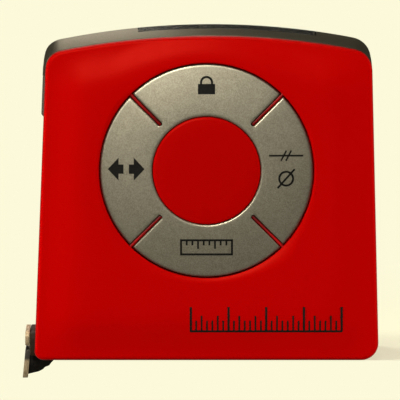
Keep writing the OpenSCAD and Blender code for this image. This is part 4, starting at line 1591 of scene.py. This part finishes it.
FINISHES = {
    "red_case": moulded_red(), "rib": rib_red(), "dark_bezel": bezel_metal(), "silver_key": key_metal(),
    "ink": ink(), "bumper": bumper_rubber(), "lock_plastic": button_rubber(), "hook_steel": dark_nickel(),
    "hook_edge": cut_edge(), "yellow_blade": blade_lacquer(), "wound_blade": wound_blade(),
    "lcd": liquid_crystal(), "window": smoked_pane(), "circuit_board": circuit_board(),
    "cell_wrap": cell_wrap(), "flex": amber_film(),
    "bright_steel": metal("bright_steel", (0.62, 0.62, 0.60, 1.0), 0.18, 0.34, (1.0, 0.15, 1.0)),
    "spring_steel": metal("spring_steel", (0.12, 0.15, 0.20, 1.0), 0.22, 0.4, (1.0, 0.1, 1.0)),
    "lock_steel": metal("lock_steel", (0.36, 0.37, 0.38, 1.0), 0.25, 0.45, (1.0, 1.0, 0.12)),
    "clip_steel": metal("clip_brushed_steel", (0.55, 0.54, 0.51, 1.0), 0.22, 0.4, (8.0, 1.0, 0.25), 0.5),
    "black_screw": metal("black_screw_steel", (0.055, 0.052, 0.048, 1.0), 0.3, 0.5, (1.0, 1.0, 1.0)),
    "chip": plastic("chip_black", (0.018, 0.018, 0.02, 1.0), 0.35, 0.55),
    "black_plastic": plastic("black_plastic", (0.02, 0.02, 0.021, 1.0), 0.38, 0.58),
    "white_nylon": plastic("white_nylon", (0.72, 0.69, 0.61, 1.0), 0.32, 0.5),
    "soft_black": plastic("soft_black", (0.016, 0.016, 0.016, 1.0), 0.6, 0.85, 0.3, 0.02),
}

CAD_FINISH = {
    "display_board": "circuit_board", "display_cable": "flex", "key_domes": "bright_steel",
    "main_board": "circuit_board", "board_chips": "chip", "board_screws": "bright_steel",
    "drum_divider": "black_plastic", "drum_shaft": "bright_steel", "thrust_washers": "white_nylon",
    "power_spring": "spring_steel", "blade_drum": "white_nylon", "drum_cap": "white_nylon",
    "blade_coil": "wound_blade", "mouth_liner": "white_nylon", "reader_board": "circuit_board",
    "reader_sensor": "chip", "battery": "cell_wrap", "battery_contacts": "bright_steel",
}


def dress(made, *finishes):
    """Gives a new piece its materials."""
    made.data.materials.clear()
    for finish in finishes:
        made.data.materials.append(FINISHES[finish].material)


def fit(made, finish, body, *nodes):
    """Dresses a piece that rides on one body and stands for the nodes, if any."""
    dress(made, finish)
    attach(made, body)
    if nodes:
        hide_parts(*nodes)


# ---- The tape measure ----
def build_case():
    fit(front_cover(), "red_case", "case", "front_cover")
    fit(rear_cover(), "red_case", "case", "rear_cover")
    fit(slot_ribs(), "rib", "case")
    fit(top_bezel(), "dark_bezel", "case", "top_bezel")
    fit(display_window(), "window", "case", "display_window")
    fit(window_mask(), "black_plastic", "case")
    fit(display_panel(), "lcd", "case", "display_panel")
    fit(display_digits(), "ink", "case")
    fit(printed("ruler_tick_row", ruler_row(), on_face), "ink", "case")


def build_keys():
    fit(key_hub(), "silver_key", "case", "key_hub")
    marks = {"hold": hold_mark(), "units": units_mark(), "offset": offset_mark(), "centre": centre_mark()}
    for key, turn in KEY_TURNS.items():
        made = key_quarter(key + "_key_quarter", turn)
        dress(made, "silver_key")
        blend_key(made)
        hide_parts(key + "_key")
        mark = printed(key + "_key_mark", marks[key], on_ring)
        dress(mark, "ink")
        blend_key(mark)


def bare_cut_edges(hook):
    """Gives the lip's two ends and the top of its tab the bare edge's finish, the second slot."""
    for polygon in hook.data.polygons:
        centre, normal = polygon.center / MM, polygon.normal
        at_end = abs(centre.y - BLADE_Y) > BLADE_HALF - 1.6 and abs(normal.y) > 0.2
        on_top = centre.z > LIP_TOP_Z - 0.6 and normal.z > 0.4
        if centre.x < LIP_X + 0.9 and (at_end or on_top):
            polygon.material_index = 1


def build_blade():
    hook = end_hook()
    dress(hook, "hook_steel", "hook_edge")
    bare_cut_edges(hook)
    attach(hook, "hook")
    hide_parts("end_hook")
    fit(hook_rivets(), "bright_steel", "blade", "hook_rivets")
    run = blade_run()
    dress(run, "yellow_blade")
    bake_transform(run)
    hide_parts("blade_tongue")
    fit(mouth_bumper(), "bumper", "case", "mouth_bumper")


def build_controls():
    fit(lock_button(), "lock_plastic", "lock", "lock_button")
    fit(lock_arm(), "lock_steel", "lock", "lock_arm")
    fit(lock_shoe(), "soft_black", "lock", "lock_shoe")
    fit(battery_door(), "red_case", "door", "battery_door")
    fit(case_screws(), "black_screw", "case", "case_screws")
    fit(clip_screw(), "black_screw", "case", "clip_screw")
    clip = belt_clip()
    dress(clip, "clip_steel")
    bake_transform(clip)
    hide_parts("belt_clip_foot", "belt_clip_tongue")


def dress_cad():
    for name, finish in CAD_FINISH.items():
        node = frame["nodes"][name]
        if not node.material_slots:
            node.data.materials.append(FINISHES[finish].material)
        for material_slot in node.material_slots:
            material_slot.material = FINISHES[finish].material


# ---- Stage, lights and camera ----
PAPER = tone(252, 249, 218)
STAGE_GLOW = 0.57


TABLE_X = (-30.9, 3600.0)
TABLE_Y = (FRONT_Y + 1.6, 4600.0)
TABLE_Z = -0.03


def stage():
    """A pale table top. It ends flush with the keys' side and short of the mouth, so the hook hangs free."""
    bm = bmesh.new()
    (x0, x1), (y0, y1) = TABLE_X, TABLE_Y
    bm.faces.new([bm.verts.new((x, y, TABLE_Z)) for x, y in ((x0, y0), (x1, y0), (x1, y1), (x0, y1))])
    table = make_object("table_top", bm)
    finish = Finish("table_paper", PAPER, 0.9, Specular_IOR_Level=0.0)
    away = finish.add("ShaderNodeVectorMath", operation="LENGTH")
    finish.link(finish.place(), away.inputs[0])
    near = finish.spread(away.outputs["Value"], 1.0, 0.0, 0.07, 0.26)
    grain = finish.ramp(finish.noise(2.0, 4.0), (0.44, 0.43, 0.32, 1.0), (0.46, 0.45, 0.335, 1.0))
    finish.paint(finish.mix(near, (0.0, 0.0, 0.0, 1.0), grain))
    dimmer = tuple(c * STAGE_GLOW for c in PAPER[:3]) + (1.0,)
    finish.link(finish.mix(near, PAPER, dimmer), finish.shader.inputs["Emission Color"])
    finish.set("Emission Strength", 1.0)
    table.data.materials.append(finish.material)
    table.visible_glossy = False


WORLD_GLOW = 0.02
WORLD_SHEEN = 0.45
# A direction behind the object and a little up, round which no sheen comes from the world
SHEEN_FREE = (-0.05, 0.985, 0.15)


def world():
    """Pale behind the object; dim for its reflections, so that the lights shape it."""
    made = bpy.data.worlds.new("pale_studio")
    bpy.context.scene.world = made
    nodes = Nodes(made)
    output = nodes.add("ShaderNodeOutputWorld")
    seen = nodes.add("ShaderNodeBackground", Color=PAPER, Strength=1.0)
    around = nodes.add("ShaderNodeBackground", Color=(1.0, 0.95, 0.8, 1.0))
    mixed = nodes.add("ShaderNodeMixShader")
    path = nodes.add("ShaderNodeLightPath")
    coords = nodes.coords("Generated")
    behind = nodes.spread(nodes.axis(coords, "Y"), 0.0, 1.0, -0.8, -0.2)
    aside = nodes.spread(nodes.distance(coords, SHEEN_FREE), 0.0, 1.0, 0.55, 0.95)
    sheen = nodes.maths("MULTIPLY", nodes.maths("MULTIPLY", behind, aside), path.outputs["Is Glossy Ray"])
    nodes.link(nodes.spread(sheen, WORLD_GLOW, WORLD_SHEEN, 0.0, 1.0), around.inputs["Strength"])
    nodes.link(path.outputs["Is Camera Ray"], mixed.inputs["Fac"])
    nodes.link(around.outputs["Background"], mixed.inputs[1])
    nodes.link(seen.outputs["Background"], mixed.inputs[2])
    nodes.link(mixed.outputs["Shader"], output.inputs["Surface"])


def area_light(name, place, aim, size, power, colour, kind="both"):
    """A soft box. kind limits it to diffuse shading or to gloss."""
    data = bpy.data.lights.new(name, "AREA")
    data.shape = "RECTANGLE"
    data.size, data.size_y = size[0] * MM, size[1] * MM
    data.energy = power
    data.color = colour
    made = bpy.data.objects.new(name, data)
    collection().objects.link(made)
    made.location = Vector(place) * MM
    made.rotation_euler = (Vector(aim) - Vector(place)).to_track_quat("-Z", "Y").to_euler()
    made.visible_camera = False
    made.visible_glossy = kind != "diffuse"
    made.visible_diffuse = kind != "gloss"


WARM = (1.0, 0.97, 0.88)
MIDDLE = (0, 0, 34)
# Name, place, aim, size, power, colour and what it lights
LIGHTS = (
    ("key_left", (-330, -90, 70), MIDDLE, (90, 240), 1.45, WARM, "diffuse"),
    ("key_top", (-40, -90, 300), MIDDLE, (260, 120), 0.45, WARM, "diffuse"),
    ("key_right", (330, -120, 80), MIDDLE, (120, 240), 1.0, WARM, "diffuse"),
    ("key_low", (0, -260, -120), (0, 0, 10), (260, 60), 0.24, WARM, "diffuse"),
    ("ring_sheen", (-95, -430, 230), MIDDLE, (160, 120), 1.45, WARM, "gloss"),
    ("band_sheen", (-48, 600, 190), (0, 0, 66), (62, 150), 0.058, (1.0, 0.93, 0.8), "gloss"),
    ("edge_sheen", (-40, -60, 300), MIDDLE, (200, 60), 0.4, WARM, "gloss"),
    ("back_key", (-200, 420, 300), MIDDLE, (260, 200), 2.0, WARM, "diffuse"),
    ("back_sheen", (-60, 300, 560), MIDDLE, (220, 160), 1.0, WARM, "gloss"),
)


def lights():
    for light in LIGHTS:
        area_light(*light)


FRAME_MM = 81.63
CAMERA_TARGET = Vector((-1.33, FRONT_Y, 32.9))
CAMERA_REACH = 3000.0
CAMERA_UP = 3.8


def camera():
    """A long lens, level with the keys and a little above them."""
    data = bpy.data.cameras.new("camera")
    data.sensor_width = 36.0
    data.lens = data.sensor_width * CAMERA_REACH / FRAME_MM
    data.clip_end = 2000.0
    made = bpy.data.objects.new("camera", data)
    collection().objects.link(made)
    up = radians(CAMERA_UP)
    away = Vector((0.0, -cos(up), sin(up)))
    made.location = (CAMERA_TARGET + away * CAMERA_REACH) * MM
    made.rotation_euler = (-away).to_track_quat("-Z", "Y").to_euler()
    bpy.context.scene.camera = made


camera()
world()
lights()
stage()
build_case()
build_keys()
build_blade()
build_controls()
dress_cad()
bpy.context.scene.view_settings.view_transform = "Standard"
